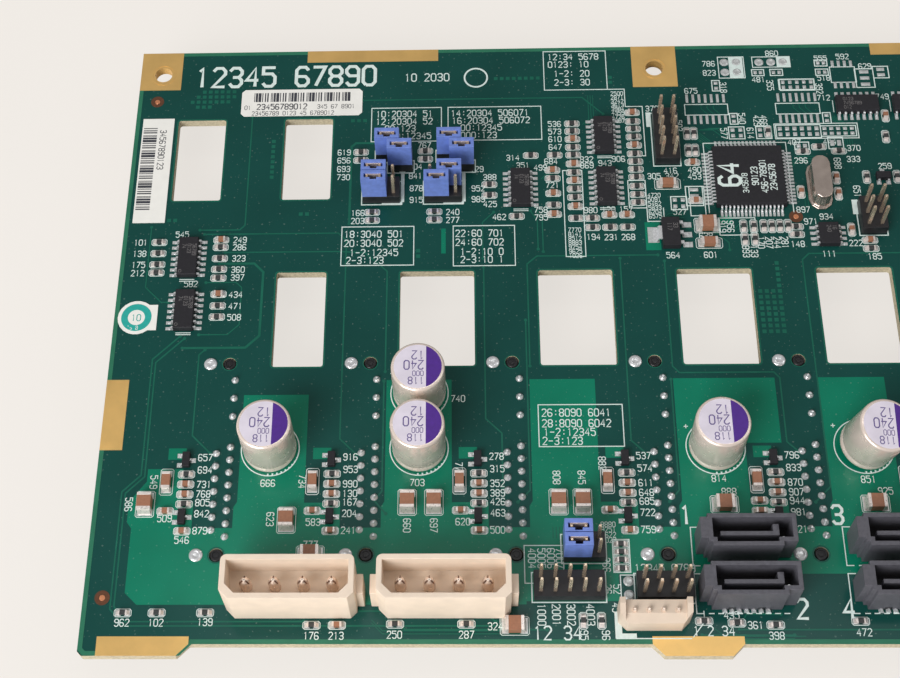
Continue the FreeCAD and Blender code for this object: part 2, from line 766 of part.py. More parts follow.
def chips(places, size, tall=False):
    """Small block parts of one size, long side along v if tall."""
    length, width, height = size
    turned = (width, length, height) if tall else size
    return [block(x, v, turned) for x, v in places]


def per_bay(places, bays=range(BAY_COUNT)):
    """Places that repeat in every bay, given from the bay's middle."""
    return [(bay_x(bay) + x, BAY_V + drop) for bay in bays for x, drop in places]


def round_label():
    """A round label with a square tab on its right."""
    x, v = ROUND_LABEL
    right, depth = ROUND_LABEL_TAB
    swing = math.asin(depth / 2 / ROUND_LABEL_RADIUS)
    points = [(right, v - depth / 2), (right, v + depth / 2)]
    for step in range(2 * FLATS + 1):
        turn = swing + (2 * math.pi - 2 * swing) * step / (2 * FLATS)
        points.append((x + ROUND_LABEL_RADIUS * math.cos(turn), v + ROUND_LABEL_RADIUS * math.sin(turn)))
    return prism(points, LABEL_THICKNESS)


def main():
    os.makedirs("parts", exist_ok=True)
    bays = range(BAY_COUNT)
    write("board", [board()])
    write("edge_lands", edge_lands())
    write("drive_receptacles", [receptacle(bay) for bay in bays])
    write("drive_contact_tails", [tail(x, v) for bay in bays for x, v in tail_places(bay)])
    write("retention_posts", lock_posts())
    tilted = leaning_can_place()
    write("capacitor_cans", [can(x, v) for x, v in can_places()] + [leaned(can(*tilted), *tilted)])
    write("capacitor_seals", [seal(x, v) for x, v in can_places()])
    write("leaning_capacitor_seal", [leaned(seal(*tilted), *tilted)])
    housings = [power_housing(x, v, ends) for (x, v), ends in zip(power_places(), POWER_LUG_ENDS)]
    write("power_header_housings", housings)
    power_pins = [power_pin(px, pv) for x, v in power_places() for px, pv in power_pin_places(x, v)]
    write("power_header_pins", power_pins)
    write("serial_port_housings", [port_housing(x, v) for x, v in port_places()])
    write("pin_header_bases", [header_base(*header[:4]) for header in headers()])
    pins = [place for header in headers() for place in grid(*header)]
    pin_size = (PIN_WIDTH, PIN_WIDTH, PIN_TOP - BASE_HEIGHT)
    write("pin_header_pins", [block(x, v, pin_size, BOARD_TOP + BASE_HEIGHT) for x, v in pins])
    write("jumper_shunts", [shunt(x, v) for x, v in shunt_places()])
    write("shunt_clips", [clip(x, v) for x, v in shunt_places()])
    write("wire_header_housing", [wire_housing()])
    wire_pins = [block(x, v, (PIN_WIDTH, PIN_WIDTH, WIRE_PIN_TOP)) for x, v in wire_pin_places()]
    write("wire_header_pins", wire_pins)

    logic = [(place, True) for place in LOGIC_TALL] + [(place, False) for place in LOGIC_WIDE]
    write("logic_chips", [chip_body(*place, SMALL_OUTLINE, tall) for place, tall in logic])
    write("controller_chip", [chip_body(*QUAD_SPOT, QUAD_FLAT, False)])
    write("controller_leads", controller_leads())
    write("memory_chip", [chip_body(*MEMORY_SPOT, SHORT_OUTLINE, True)])
    write("reset_chip", [chip_body(*RESET_SPOT, TINY_OUTLINE, False)])
    write("regulator", [regulator_body()])
    write("regulator_leads", regulator_leads())
    write("crystal", [crystal()])

    write("protection_diodes", chips(per_bay(BAY_DIODES), DIODE, True))
    wide_bulk = hung(BULK_WIDE) + [BULK_UPPER] + per_bay([PORT_BAY_BULK], port_bays())
    write("bulk_ceramics", chips(hung(BULK_TALL), BULK_CERAMIC, True) + chips(wide_bulk, BULK_CERAMIC))
    long_ceramics = chips(per_bay([BAY_LONG]), LONG_CERAMIC, True) + chips(LONG_WIDE, LONG_CERAMIC)
    write("long_ceramics", long_ceramics)

    write("wide_label", [cornered(*WIDE_LABEL[:2], (*WIDE_LABEL[2:], LABEL_THICKNESS), LABEL_CORNER)])
    write("tall_label", [block(*TALL_LABEL[:2], (*TALL_LABEL[2:], LABEL_THICKNESS))])
    write("round_label", [round_label()])


main()
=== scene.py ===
"""Looks of a drive backplane board: the finish of every surface and the detail too fine for its solids.

Places are board millimetres: x from the left edge, v from the top edge, z up from the floor.
"""

import math

import bmesh
import bpy
from mathutils import Euler, Matrix, Vector


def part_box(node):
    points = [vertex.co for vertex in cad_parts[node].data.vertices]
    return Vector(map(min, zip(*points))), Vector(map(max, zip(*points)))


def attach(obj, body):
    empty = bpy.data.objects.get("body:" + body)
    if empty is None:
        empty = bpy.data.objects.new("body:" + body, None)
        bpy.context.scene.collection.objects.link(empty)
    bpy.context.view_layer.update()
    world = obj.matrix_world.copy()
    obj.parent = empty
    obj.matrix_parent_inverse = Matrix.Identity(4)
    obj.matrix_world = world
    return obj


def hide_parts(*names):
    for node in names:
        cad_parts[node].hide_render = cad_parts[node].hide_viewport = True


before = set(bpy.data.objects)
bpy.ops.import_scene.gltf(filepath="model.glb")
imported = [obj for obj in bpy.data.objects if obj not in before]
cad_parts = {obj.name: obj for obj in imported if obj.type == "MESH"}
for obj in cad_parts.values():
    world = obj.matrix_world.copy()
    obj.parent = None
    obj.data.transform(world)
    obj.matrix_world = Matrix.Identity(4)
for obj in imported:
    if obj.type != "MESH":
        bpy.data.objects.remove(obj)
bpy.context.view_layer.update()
MM = 0.001


def in_columns(*groups):
    """Places as [(x, v)] from groups of one x and every v in its column."""
    return [(x, v) for x, *column in groups for v in column]


# Board.
BOARD_LOW, BOARD_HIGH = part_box("board")
WIDTH = (BOARD_HIGH.x - BOARD_LOW.x) / MM
DEPTH = (BOARD_HIGH.y - BOARD_LOW.y) / MM
TOP = BOARD_HIGH.z / MM
UNDER = BOARD_LOW.z / MM
TAB_DEPTH = 2.1
CORNER_TAB = 19.7
CENTRE_TAB = 16.0
CORNER_CHAMFER = 0.8
CORNER_STEPS = 4
SCREW_RADIUS = 1.95
SCREW_HOLES = ((4.85, 5.8), (WIDTH / 2, 5.8), (WIDTH - 4.85, 5.8))

# Bays.
PITCH = 27.2
FIRST_BAY = 23.5
BAYS = range(8)
BAY_V = 94.5
PORT_BAYS = range(3, 7)
PEG_DROP = 19.4
PEG_RADIUS = 1.15
PEG_HOLE = 1.3
POST_OFFSET = -3.7
PEG_TIP = (
    (PEG_RADIUS, UNDER), (PEG_RADIUS, TOP - 0.15), (1.0, TOP), (0.75, TOP), (0.68, TOP - 0.22),
    (0.52, TOP - 0.22), (0.45, TOP - 0.02), (0.2, TOP),
)
TAIL_JOINT = (
    (0.72, TOP), (0.7, TOP + 0.1), (0.52, TOP + 0.3), (0.36, TOP + 0.5), (0.26, TOP + 0.62),
    (0.24, TOP + 0.84), (0.12, TOP + 0.9),
)
POST_JOINT = (
    (1.28, TOP), (1.25, TOP + 0.12), (1.05, TOP + 0.27), (0.7, TOP + 0.33), (0.55, TOP + 0.24),
    (0.3, TOP + 0.2),
)
LOWER_JOINT = ((1, 0.0), (0.9, 0.15), (0.55, 0.55), (0.42, 0.75), (0.4, 1.35))
CONTACT_PITCH = 1.27
FIRST_CONTACT = -15.875
POWER_CONTACT = -1.905
DATA_CONTACTS = 7
POWER_CONTACTS = 15
TAIL_COLUMNS = (1.3, -1.3)

# Windows as left x, top v, width and depth.
WINDOW_CORNER = 0.5
HIGH_WINDOWS = ((9.1, 17.8, 10.0, 19.9), (31.6, 17.8, 10.0, 19.9))
LOW_WINDOWS = ((31.6, 54.9, 9.9, 20.9),) + tuple(
    (FIRST_BAY + PITCH * bay + 5.5, 54.9, 14.6, 20.9) for bay in range(1, 7)
)

# Layers above the laminate, and the widths of printed lines.
COPPER = 0.03
INK = 0.05
CREEP = 0.0006
PAD = 0.05

LINE_WIDTH = 0.18
THIN = 0.12
FRAME_WIDTH = 0.11

# Edges: the angles in degrees from which an edge stays sharp or is rounded, and the welds in millimetres.
SMOOTH = 40.0
SOFT = 35.0
LEADS = 25.0
CRISP = 20.0
BEVEL_FROM = 35
FLAT = 1
WELD = 0.002
FLAT_WELD = 0.001

# Finishes: how far the tones and the roughness wander, the dust, and the floor's own glow.
ROUGH_LEAST, ROUGH_MOST = 0.85, 1.2
RAMP_STOPS = (0.3, 0.75)
DUST_SIZE = 0.5
DUST_START = 0.76
DUST_FULL = 0.8
DUST_COLOUR = "#a9bdb2"
FLOOR_GLOW = 0.82

# Stage: places in metres, lamps as length, depth (none for a square) and watts, and the lens in millimetres.
FLOOR_HALF = 1.5
SKY = (1.0, 0.99, 0.98, 1)
SKY_STRENGTH = 0.34
LAMPS = (
    ("key", (-0.45, -0.62, 0.5), 0.6, None, 8.0),
    ("fill", (0.7, 0.1, 0.6), 0.4, None, 0.6),
    ("ceiling", (0.02, 0.17, 0.8), 0.5, 0.1, 0.4),
)
SENSOR = 36.0
LENS = 65.4
LENS_SHIFT = (0.0513, -0.056)
CAMERA_PLACE = (-0.03941, -0.15044, 0.29109)
CAMERA_TURN = (29.378, 2.2531, 0.6944)

# Capacitor cans, with the texts on them as rise and height.
CAN_PLACES = ((32.3, 93.0), (60.2, 93.0), (60.2, 81.6), (115.2, 93.0), (169.6, 93.0), (196.8, 93.0))
LEANING_CAN = (142.4, 93.0)
CAN_FOOT = 0.4
CAN_HEIGHT = 11.0
LEAN = math.radians(10.0)
LEAN_HEADING = math.radians(-35.0)
LEAN_PIVOT = 4.3
FACE_RADIUS = 4.45
CHORD = 1.55
CAN_TEXT = (("12", -3.2, 1.7), ("240", -1.2, 1.8), ("000", 0.95, 1.0), ("118", 2.2, 1.4))

# Connectors: pin headers as first pin, columns, rows and the spots without a pin.
POWER_HEADERS = ((37.8, 121.75), (65.0, 121.75))
POWER_PITCH = 5.08
GRID = 2.54
HEADERS = (
    (49.6 + GRID, 27.5, 2, 1, ()),
    (49.6 + 2 * GRID, 27.5 + GRID, 2, 1, ()),
    (62.15 + GRID, 27.5, 2, 1, ()),
    (62.15 + 2 * GRID, 27.5 + GRID, 2, 1, ()),
    (49.6, 27.5 + 3 * GRID, 3, 2, ()),
    (62.15, 27.5 + 3 * GRID, 3, 2, ()),
    (109.2, 18.9, 2, 5, ()),
    (148.8, 41.0, 2, 3, ()),
    (82.0, 118.8, 5, 2, ((4, 0),)),
    (100.2, 119.0, 4, 2, ()),
    (87.45, 111.6, 3, 2, ()),
)
WIRE_HEADER = (101.7, 126.0)
WIRE_PITCH = 2.5
PORT_OFFSET = 13.95
PORT_DROPS = (17.5, 26.3)
PORT_FLOOR = TOP + 2.2

# Chips: the small outline is lead pitch, half width, and each lead's reach, width and rise. The controller's
# leads are half width, pad distance, count and pitch, and the other leads are place and way out. Texts are
# measured from the chip's middle: the controller's as left, foot, height and stroke width.
MOULDED = (
    "logic_chips", "controller_chip", "memory_chip", "reset_chip", "regulator", "protection_diodes",
)
SMALL_OUTLINE = (1.27, 1.95, 1.1, 0.42, 0.62)
LOGIC_TALL = ((13.7, 51.5), (13.9, 63.5), (80.4, 35.8), (97.8, 23.2), (97.8, 35.7))
LOGIC_WIDE = ((150.4, 16.2), (162.1, 16.2))
MEMORY = (141.1, 47.6)
CONTROLLER = (126.6, 33.8)
RESET = (153.6, 33.8)
REGULATOR = (110.0, 47.0)
CONTROLLER_LEADS = (7, 8.3, 16, 0.8)
RESET_LEADS = ((-0.95, 1), (0.95, 1), (0.0, -1))
DIODE_LEADS = ((-0.95, -1), (0.95, -1), (0.0, 1))
CHIP_INK = 0.012
CONTROLLER_TEXT = (
    ("64", -2.0, 2.6, 4.2, 0.16), ("345678", -0.5, 4.4, 1.1, 0.14), ("90123", 1.6, 2.6, 1.25, 0.16),
    ("456-78901", 3.4, 4.4, 1.25, 0.16), ("2345678", 5.2, 3.8, 1.25, 0.16),
)

CHIP_TEXT = (
    ("logic_chips", LOGIC_TALL, ("74", "0123", "56789"), -1.2, -2.6, 1.05, 0.0, 0.75, -90),
    ("logic_chips", LOGIC_WIDE, ("0123", "7456789", "012"), -2.9, -0.45, 0.0, 1.05, 0.75, 0),
    ("memory_chip", (MEMORY,), ("240", "16"), -0.4, -1.6, 1.1, 0.0, 0.75, -90),
    ("regulator", (REGULATOR,), ("117", "33"), -0.7, -1.8, 1.2, 0.0, 0.85, -90),
)

# Small parts: size, then places with the long side across or along the board's depth.
PART_LIFT = 0.06
RESISTOR = (1.6, 0.85, 0.5)
CERAMIC = (1.7, 0.9, 0.8)
BULK = (3.3, 2.6, 2.0)
LONG = (3.2, 1.6, 1.3)
RESISTORS_WIDE = in_columns(
    (7.5, 47.6, 50.2, 52.8, 54.7), (20.0, 48.9, 51.5, 54.0, 56.0), (20.3, 62.3, 64.8), (7.5, 124.7),
    (13.6, 124.7), (22.3, 124.7), (41.4, 127.0), (56.2, 126.8), (68.8, 126.8), (116.2, 126.6),
    (122.9, 127.0), (47.7, 26.3, 28.3), (50.3, 41.0, 42.9), (62.9, 41.0, 42.9), (61.0, 26.2, 28.2),
    (74.1, 34.6, 37.2), (79.5, 42.3), (82.7, 27.6), (87.0, 33.3, 39.7), (87.6, 27.6),
    (91.4, 19.8, 21.7, 25.7, 27.6, 31.9, 35.9, 37.9, 42.9), (94.6, 42.9, 45.1), (98.1, 45.1),
    (101.6, 45.1), (104.0, 19.4, 21.3, 23.3, 27.5, 29.4, 31.3, 33.2, 35.4, 37.4, 39.3),
    (96.7, 112.0, 113.5, 115.0, 116.6), (138.2, 27.4), (141.6, 26.3), (145.5, 27.4), (134.9, 45.4, 47.2),
    (149.1, 50.6),
)
RESISTORS_TALL = in_columns(
    (89.4, 126.2), (92.6, 126.2), (115.0, 22.6), (116.4, 22.6), (115.0, 26.8), (116.4, 26.8),
    (124.6, 45.2), (126.6, 45.2), (128.6, 45.2), (130.2, 45.2), (131.8, 45.2), (133.4, 45.2),
    (124.6, 48.2), (126.6, 48.2), (150.3, 33.8), (156.4, 33.8), (131.6, 22.4), (155.4, 24.0),
)
CERAMICS_WIDE = in_columns(
    (20.0, 47.2), (20.3, 59.7), (45.9, 127.0), (87.0, 31.3, 36.9, 41.9), (91.4, 23.7, 29.8, 33.9, 40.1),
    (98.1, 42.2), (101.6, 42.2), (104.0, 17.2, 25.4), (115.6, 29.8, 39.0), (149.1, 48.7),
)
CERAMICS_TALL = in_columns(
    (136.8, 37.2), (144.2, 33.9, 37.7), (145.8, 46.2), (156.0, 18.8),
)
BAY_RESISTORS = ((-6.6, 3.6), (-6.6, 9.5))
BAY_CERAMICS = ((-6.6, 5.6), (-6.6, 7.6))
LEFT_BAY_CERAMICS = ((-6.6, 14.8), (-10.0, 10.9))
RIGHT_BAY_CERAMICS = ((-10.0, 9.2), (-10.0, 11.2))
PORT_BAY_RESISTOR = (5.4, 31.8)
BULK_TALL = in_columns(
    (9.7, 104.0), (36.0, 107.2), (58.1, 103.8), (63.0, 103.8), (85.8, 103.8), (90.2, 103.8),
)
BULK_WIDE = in_columns(
    (40.6, 113.9), (77.3, 127.1), (117.4, 44.9),
)
PORT_BAY_BULK = (10.8, 9.9)
LONG_WIDE = ((110.2, 35.0), (117.5, 49.0))
BAY_LONG = (-10.2, 5.1)
BAY_DIODES = ((-6.8, 0.8), (-6.8, 12.1))

# Lighter areas where the mask lies on copper. The main pour is one sheet: a band below the bays that rises
# between them, with its edges measured from the lines of the bays on its left and right.
POUR_NEAR = 2.6
POUR_INNER = 3.2
POUR_FAR = 11.6
POUR_OUTER = 4.9
POUR_SHOULDERS = (104.6, 103.6, 103.8)
PEG_CLEARING = 1.6
BAY_POUR = ((-8.6, -0.55),)
BAY_POUR_SIZE = (3.4, 2.3, COPPER)
POUR_FOOT = 108.7
POUR_START = (
    (6.6, 107.5), (6.6, 103.5), (9.6, 99.5), (9.6, 97.0), (16.2, 97.0), (16.2, 103.8), (18.6, 103.8),
    (18.6, POUR_FOOT),
)
POUR_END = (
    (WIDTH - 7.5, POUR_FOOT), (WIDTH - 7.5, 117.6), (96.0, 117.6), (96.0, 122.6), (79.5, 122.6),
    (79.5, 123.2), (9.8, 123.2), (7.5, 121.0), (7.5, POUR_FOOT),
)
POUR_TOPS = (81.8, 78.8, 78.8, 78.8, 78.8, 78.8, 78.8)
STEPPED_POUR = 3
POUR_STEP = (127.4, 92.2)
SMALL_POURS = (
    (64.3, 45.0, 65.2, 50.8), (105.0, 44.0, 108.0, 50.5), (120.0, 42.6, 122.4, 44.4),
)

# Traces as width and line, then buses as the first line, the lanes and the step from lane to lane.
VIA = ((0.34, TOP), (0.34, TOP + COPPER + 0.01), (0.2, TOP + COPPER + 0.01))
BUS_WIDTH = 0.16
TRACES = (
    (0.3, ((47.7, 13.1), (93.8, 13.1), (98.0, 17.4))),
    (0.3, ((24.6, 17.0), (24.6, 43.7), (23.6, 44.8), (15.5, 44.8))),
    (0.5, ((50.0, 24.0), (46.6, 24.0), (45.7, 24.9), (45.7, 43.6))),
    (0.3, ((16.5, 45.8), (43.6, 45.8), (45.3, 47.5), (45.3, 91.0), (48.5, 94.2))),
    (0.3, ((21.0, 50.1), (43.0, 50.1), (49.0, 50.4), (53.6, 54.8), (53.6, 77.0))),
    (0.5, ((20.0, 52.7), (27.0, 52.7), (28.9, 54.7), (28.9, 69.0), (26.3, 71.6), (14.0, 71.6))),
    (0.3, ((18.5, 72.0), (17.4, 73.1), (17.4, 90.2), (21.0, 93.8))),
    (0.3, ((14.3, 69.5), (9.1, 74.7), (9.1, 98.5), (5.8, 101.8), (5.8, 123.5), (8.0, 126.3), (40.0, 126.3))),
    (0.3, ((13.4, 69.0), (8.4, 74.0), (8.4, 98.2), (5.1, 101.5), (5.1, 124.0), (8.0, 127.1), (79.0, 127.1))),
    (0.3, ((72.7, 54.0), (72.7, 87.0), (75.7, 90.0), (75.7, 101.0))),
    (0.3, ((107.2, 51.6), (83.3, 51.6), (81.3, 53.4), (81.3, 76.0))),
    (0.3, ((99.7, 52.3), (99.7, 91.6), (102.7, 94.6))),
    (0.3, (
        (108.4, 53.0), (108.4, 76.2), (109.6, 77.6), (127.4, 77.6), (128.4, 78.8), (128.4, 92.0),
        (130.6, 94.2),
    )),
    (0.3, ((155.0, 51.6), (136.8, 51.6), (135.4, 53.0), (135.4, 76.0), (135.4, 101.0), (132.4, 104.0))),
    (0.3, ((80.7, 66.0), (80.7, 101.5), (78.4, 103.8))),
    (0.3, ((53.4, 79.0), (53.4, 101.6), (52.0, 103.4), (54.2, 106.0))),
    (0.3, ((107.9, 79.0), (107.9, 101.6), (106.0, 103.8))),
    (0.3, ((44.0, 124.4), (55.0, 124.4), (58.0, 127.8), (83.0, 127.8))),
    (0.3, ((60.0, 124.6), (72.0, 124.6), (74.0, 126.4))),
    (0.3, ((124.0, 125.0), (118.0, 125.0), (116.4, 127.8), (150.0, 127.8))),
    (0.3, ((126.0, 128.8), (110.0, 128.8))),
    (0.3, ((151.8, 128.6), (206.0, 128.6))),
    (0.25, ((74.9, 41.2), (72.6, 43.6), (72.6, 52.0))),
    (0.25, ((83.5, 41.0), (84.6, 43.0), (84.6, 50.6))),
    (0.25, ((82.3, 41.0), (83.6, 43.4), (83.6, 50.0))),
    (0.25, ((5.6, 44.0), (5.6, 58.0), (9.0, 61.4), (10.4, 61.4))),
    (0.25, ((17.6, 57.0), (23.6, 57.0), (24.8, 58.2), (24.8, 66.5), (22.6, 68.7), (17.0, 68.7))),
    (0.25, ((119.0, 46.5), (121.4, 48.9), (121.4, 50.6))),
)
BUSES = (
    (((113.2, 21.0), (116.0, 21.0), (119.6, 24.6)), 5, 0.0, 0.55),
    (((120.6, 43.0), (118.0, 45.6), (113.2, 45.6)), 4, 0.8, 0.0),
    (((124.4, 42.8), (124.4, 44.0), (122.6, 46.0)), 5, 0.8, 0.0),
    (((123.0, 24.3), (120.4, 21.8), (117.0, 21.8)), 4, 0.8, -0.15),
    (((130.0, 24.6), (131.8, 22.9), (131.8, 20.4)), 3, 0.7, 0.0),
    (((135.6, 30.0), (137.0, 28.6), (143.0, 28.6)), 3, 0.0, 0.6),
    (((135.4, 36.0), (137.4, 38.2), (137.4, 41.0)), 3, 0.6, 0.0),
    (((93.6, 20.0), (95.0, 18.6), (95.0, 12.6)), 3, 0.5, 0.0),
    (((84.6, 33.4), (86.0, 32.0), (86.0, 28.6)), 3, 0.5, 0.0),
    (((144.0, 18.6), (147.0, 21.4), (147.0, 27.2)), 4, 0.5, 0.0),
    (((118.4, 14.8), (118.4, 16.4), (120.0, 18.2)), 3, 1.27, 0.0),
    (((137.4, 14.8), (137.4, 16.4), (139.0, 18.2)), 3, 1.27, 0.0),
    (((113.0, 42.0), (110.0, 42.0), (108.2, 43.8)), 3, 0.0, 0.5),
    (((52.0, 126.0), (54.0, 128.0), (80.0, 128.0)), 2, 0.0, 0.55),
    (((112.0, 127.4), (114.4, 129.4), (126.0, 129.4)), 2, 2.0, -0.4),
    (((84.6, 108.6), (84.6, 110.8)), 4, 0.6, 0.0),
)

# Small copper squares as the first one, columns and rows, then the band along the edge and the bare dots.
THIEVING = (
    (14.0, 10.4, 6, 1), (12.8, 11.7, 7, 1), (11.6, 13.0, 7, 1), (12.8, 14.3, 3, 1), (29.4, 23.3, 1, 8),
    (75.8, 7.9, 8, 1), (126.5, 60.0, 4, 8), (130.3, 53.7, 1, 5), (45.8, 18.3, 3, 1), (35.8, 41.2, 2, 1),
    (59.7, 50.1, 1, 2), (99.9, 8.0, 1, 2), (9.0, 42.4, 2, 1), (176.0, 8.0, 8, 1),
)
THIEF_PITCH = 1.27
THIEF_SIZE = 0.8
BAND_INSET = 0.45
BAND_WIDTH = 0.85
FIDUCIALS = ((4.1, 12.8), (3.5, 121.9), (135.2, 43.0), (WIDTH - 4.1, 121.9))

# Labels: texts as x, foot v, height, turn and stroke width. On the disc they are measured from its middle,
# and how far they rise and their finish follow the height.
LABEL_THICKNESS = 0.1
ROUND_LABEL = (4.4, 64.8)
LABEL_INK = 0.01
BARS = (0.15, 0.3, 0.2, 0.45, 0.15, 0.25, 0.6)
WIDE_BARS = (24.7, 45.0)
TALL_BARS = (19.6, 40.2)
LABEL_TEXT = (
    ("01", 22.8, 15.2, 1.0, 0, THIN), ("23456789012", 25.4, 15.2, 1.35, 0, 0.16),
    ("345 67 8901", 38.2, 15.1, 1.0, 0, THIN), ("23456789 0123 45 6789012", 24.4, 16.7, 1.0, 0, THIN),
    ("34567890123", 5.4, 20.2, 1.25, -90, 0.13),
)
DISC_TEXT = (
    ("10", -0.9, 0.75, 1.4, 0.012, 0), ("1234", -1.7, -1.9, 0.8, 0.018, 1),
    ("5678", -1.7, 2.7, 0.8, 0.018, 1),
)

# Legend: frames as left, top, right and bottom, solid marks as middle and size, and plain numbers as groups
# of height and turn, each with its texts and where the foot of their first figure stands.
FRAMES = (
    (86.0, 1.0, 99.2, 11.1), (49.7, 15.2, 64.3, 23.7), (65.7, 15.2, 85.1, 23.6), (44.3, 44.4, 58.8, 53.4),
    (66.7, 44.4, 79.0, 53.7), (82.6, 84.2, 98.4, 92.8), (89.1, 31.4, 93.0, 51.8),
    (122.8, 3.1, 128.2, 8.6), (130.0, 3.2, 137.9, 5.9), (115.0, 15.3, 123.9, 18.0),
    (133.8, 15.3, 142.8, 18.0), (146.0, 6.1, 151.2, 10.1), (133.0, 20.5, 150.0, 24.2),
    (135.0, 9.2, 142.3, 11.8), (79.3, 112.2, 86.3, 119.3), (114.4, 35.6, 117.4, 42.6),
    (95.2, 111.1, 98.2, 117.3), (119.8, 43.2, 127.0, 47.2),
)
LINES = (
    ((99.2, 11.1), (102.7, 11.1), (102.7, 15.6), (106.2, 15.6), (106.2, 28.0), (105.6, 28.0)),
    ((102.2, 34.0), (105.7, 34.0), (105.7, 43.8), (109.0, 43.8), (109.0, 40.6)),
    ((102.2, 34.0), (102.2, 40.6), (105.7, 40.6)),
    ((118.1, 42.0), (118.1, 25.1), (134.9, 25.1), (134.9, 42.0)),
    ((98.9, 124.2), (96.3, 124.2), (96.3, 117.8), (99.0, 117.8)), ((79.3, 119.3), (79.3, 112.2)),
    ((108.4, 129.2), (110.6, 126.4), (110.6, 124.4)), ((95.0, 129.4), (108.2, 129.4)),
)
PORT_BRACKET = ((-8.3, -3.2), (-9.7, -3.2), (-9.7, 4.1), (-8.4, 4.1))
PORT_FRONT = 4.1
PORT_DASHES = 9
DASH_PITCH = 1.65
DASH_ENDS = (-7.6, -6.6)
HEADER_EDGE = 1.5
CAN_RING = 5.45
CAN_HATCHES = 9
SMALL_FRAME = (3.05, 1.45)
LONG_FRAME = (5.2, 2.4)
BULK_FRAME = (5.1, 3.4)
MARK_RING = (71.6, 7.6, 2.4)
MARK_HIGH = INK + 0.015
SOLID_MARKS = (
    (56.4, 35.0, 0.7, 7.2), (54.3, 38.85, 4.2, 0.6), (68.9, 35.0, 0.7, 7.2), (66.8, 38.85, 4.2, 0.6),
    (56.3, 31.0, 1.2, 1.2), (107.3, 19.0, 1.0, 3.6), (147.2, 40.9, 1.2, 3.4), (126.5, 5.85, 2.9, 5.5),
    (136.5, 4.55, 2.8, 2.7),
    (95.5, 127.0, 1.2, 4.8), (96.8, 129.0, 3.6, 1.0), (95.8, 113.6, 0.9, 0.9),
)
NUMBERS = (
    (4.9, 0, (("12345 67890", 12.0, 9.1),)),
    (1.9, 0, (("10 2030", 56.6, 8.3),)),
    (1.5, 0, (
        ("12:34 5678", 87.0, 3.2), ("0123: 10", 87.0, 5.2), ("1-2: 20", 88.2, 7.6),
        ("2-3: 30", 88.2, 9.9), ("10:20304 51", 50.7, 17.5), ("12:20304 52", 50.7, 19.4),
        ("00:123", 52.6, 21.2), ("000:12345", 52.6, 23.1), ("14:20304 506071", 66.4, 17.5),
        ("16:20304 506072", 66.6, 19.4), ("00:12345", 68.4, 21.2), ("000:123", 68.4, 23.1),
        ("18:3040 501", 44.9, 46.9), ("20:3040 502", 44.9, 49.0), ("1-2:12345", 46.1, 51.2),
        ("2-3:123", 45.4, 53.0), ("22:60 701", 67.2, 46.9), ("24:60 702", 67.2, 49.0),
        ("1-2:10 0", 68.2, 51.2), ("2-3:10 1", 68.2, 53.0), ("26:8090 6041", 83.3, 86.6),
        ("28:8090 6042", 83.3, 88.8), ("1-2:12345", 83.6, 90.6), ("2-3:123", 83.3, 92.4),
    )),
    (2.4, 0, (("12 34", 80.7, 129.6),)),
    (1.5, 0, (("12345 6789", 99.0, 117.3),)),
    (1.7, 0, (("1 2 34", 108.6, 128.9),)),
    (1.35, -90, (
        ("4004", 80.0, 112.8), ("5005", 81.7, 112.8), ("6006", 83.4, 112.8), ("7007", 85.0, 112.8),
    )),
    (1.4, -90, (
        ("1000", 81.4, 123.2), ("2001", 84.0, 123.2), ("3002", 86.6, 123.2), ("4003", 90.0, 123.2),
    )),
    (1.3, -90, (
        ("266", 93.3, 114.6), ("26", 93.3, 119.6), ("52", 95.0, 119.6), ("45", 94.6, 123.0),
        ("95", 88.8, 128.0), ("96", 92.6, 128.0),
    )),
)
TAGS_ACROSS = in_columns(
    (3.7, 47.6, 50.2, 52.8, 54.7), (23.8, 47.2, 48.9, 51.5, 54.1, 55.9), (23.7, 59.8), (23.8, 62.4),
    (23.7, 64.9), (12.0, 45.8), (14.6, 57.3), (44.2, 26.3, 28.3, 30.4, 32.4), (60.8, 24.7),
    (59.0, 30.0, 32.3), (59.2, 35.3, 38.1), (71.8, 35.5, 38.1), (71.6, 30.8), (47.4, 41.1, 43.0),
    (66.6, 41.1, 43.0), (79.0, 28.1), (81.0, 30.0), (74.2, 32.8, 39.3), (76.0, 42.4), (84.6, 30.6),
    (87.8, 19.8, 21.7, 23.6, 25.6), (86.8, 29.1), (86.9, 34.9), (84.4, 40.8, 42.6), (94.1, 28.7, 30.2),
    (100.6, 28.7), (97.8, 29.7), (94.4, 41.0), (98.0, 40.9), (101.5, 40.9), (94.7, 47.3), (98.2, 47.4),
    (101.6, 47.4), (107.6, 33.0), (111.2, 33.0), (108.2, 16.2), (111.0, 31.7), (115.8, 33.2),
    (115.9, 31.6), (112.2, 41.6), (110.2, 51.7), (117.6, 51.7), (117.0, 47.3), (116.6, 11.8),
    (143.9, 14.0), (156.0, 13.9), (120.8, 4.8, 7.2), (134.3, 2.3), (136.8, 41.4), (141.2, 43.1),
    (138.0, 44.2), (140.8, 51.7), (134.9, 49.4), (149.6, 52.4), (146.3, 49.3), (154.3, 31.2),
    (137.6, 29.6), (148.2, 29.4), (148.6, 26.7), (136.7, 25.1), (143.9, 25.1), (130.9, 9.1), (144.5, 8.9),
    (144.4, 3.8), (149.0, 3.4), (153.4, 6.0), (32.2, 99.9), (59.9, 99.9), (67.5, 82.8), (40.6, 111.9),
    (115.3, 99.3), (142.4, 99.6), (116.9, 101.9), (145.2, 101.9), (7.5, 126.5), (13.6, 126.5),
    (22.4, 126.4), (41.4, 128.9), (45.8, 128.9), (56.1, 128.7), (68.8, 128.7), (73.9, 127.2),
    (119.4, 127.0), (122.9, 128.9), (115.4, 125.2), (138.1, 128.3), (13.5, 106.8), (17.0, 111.0),
    (40.9, 107.6), (68.3, 107.6),
)
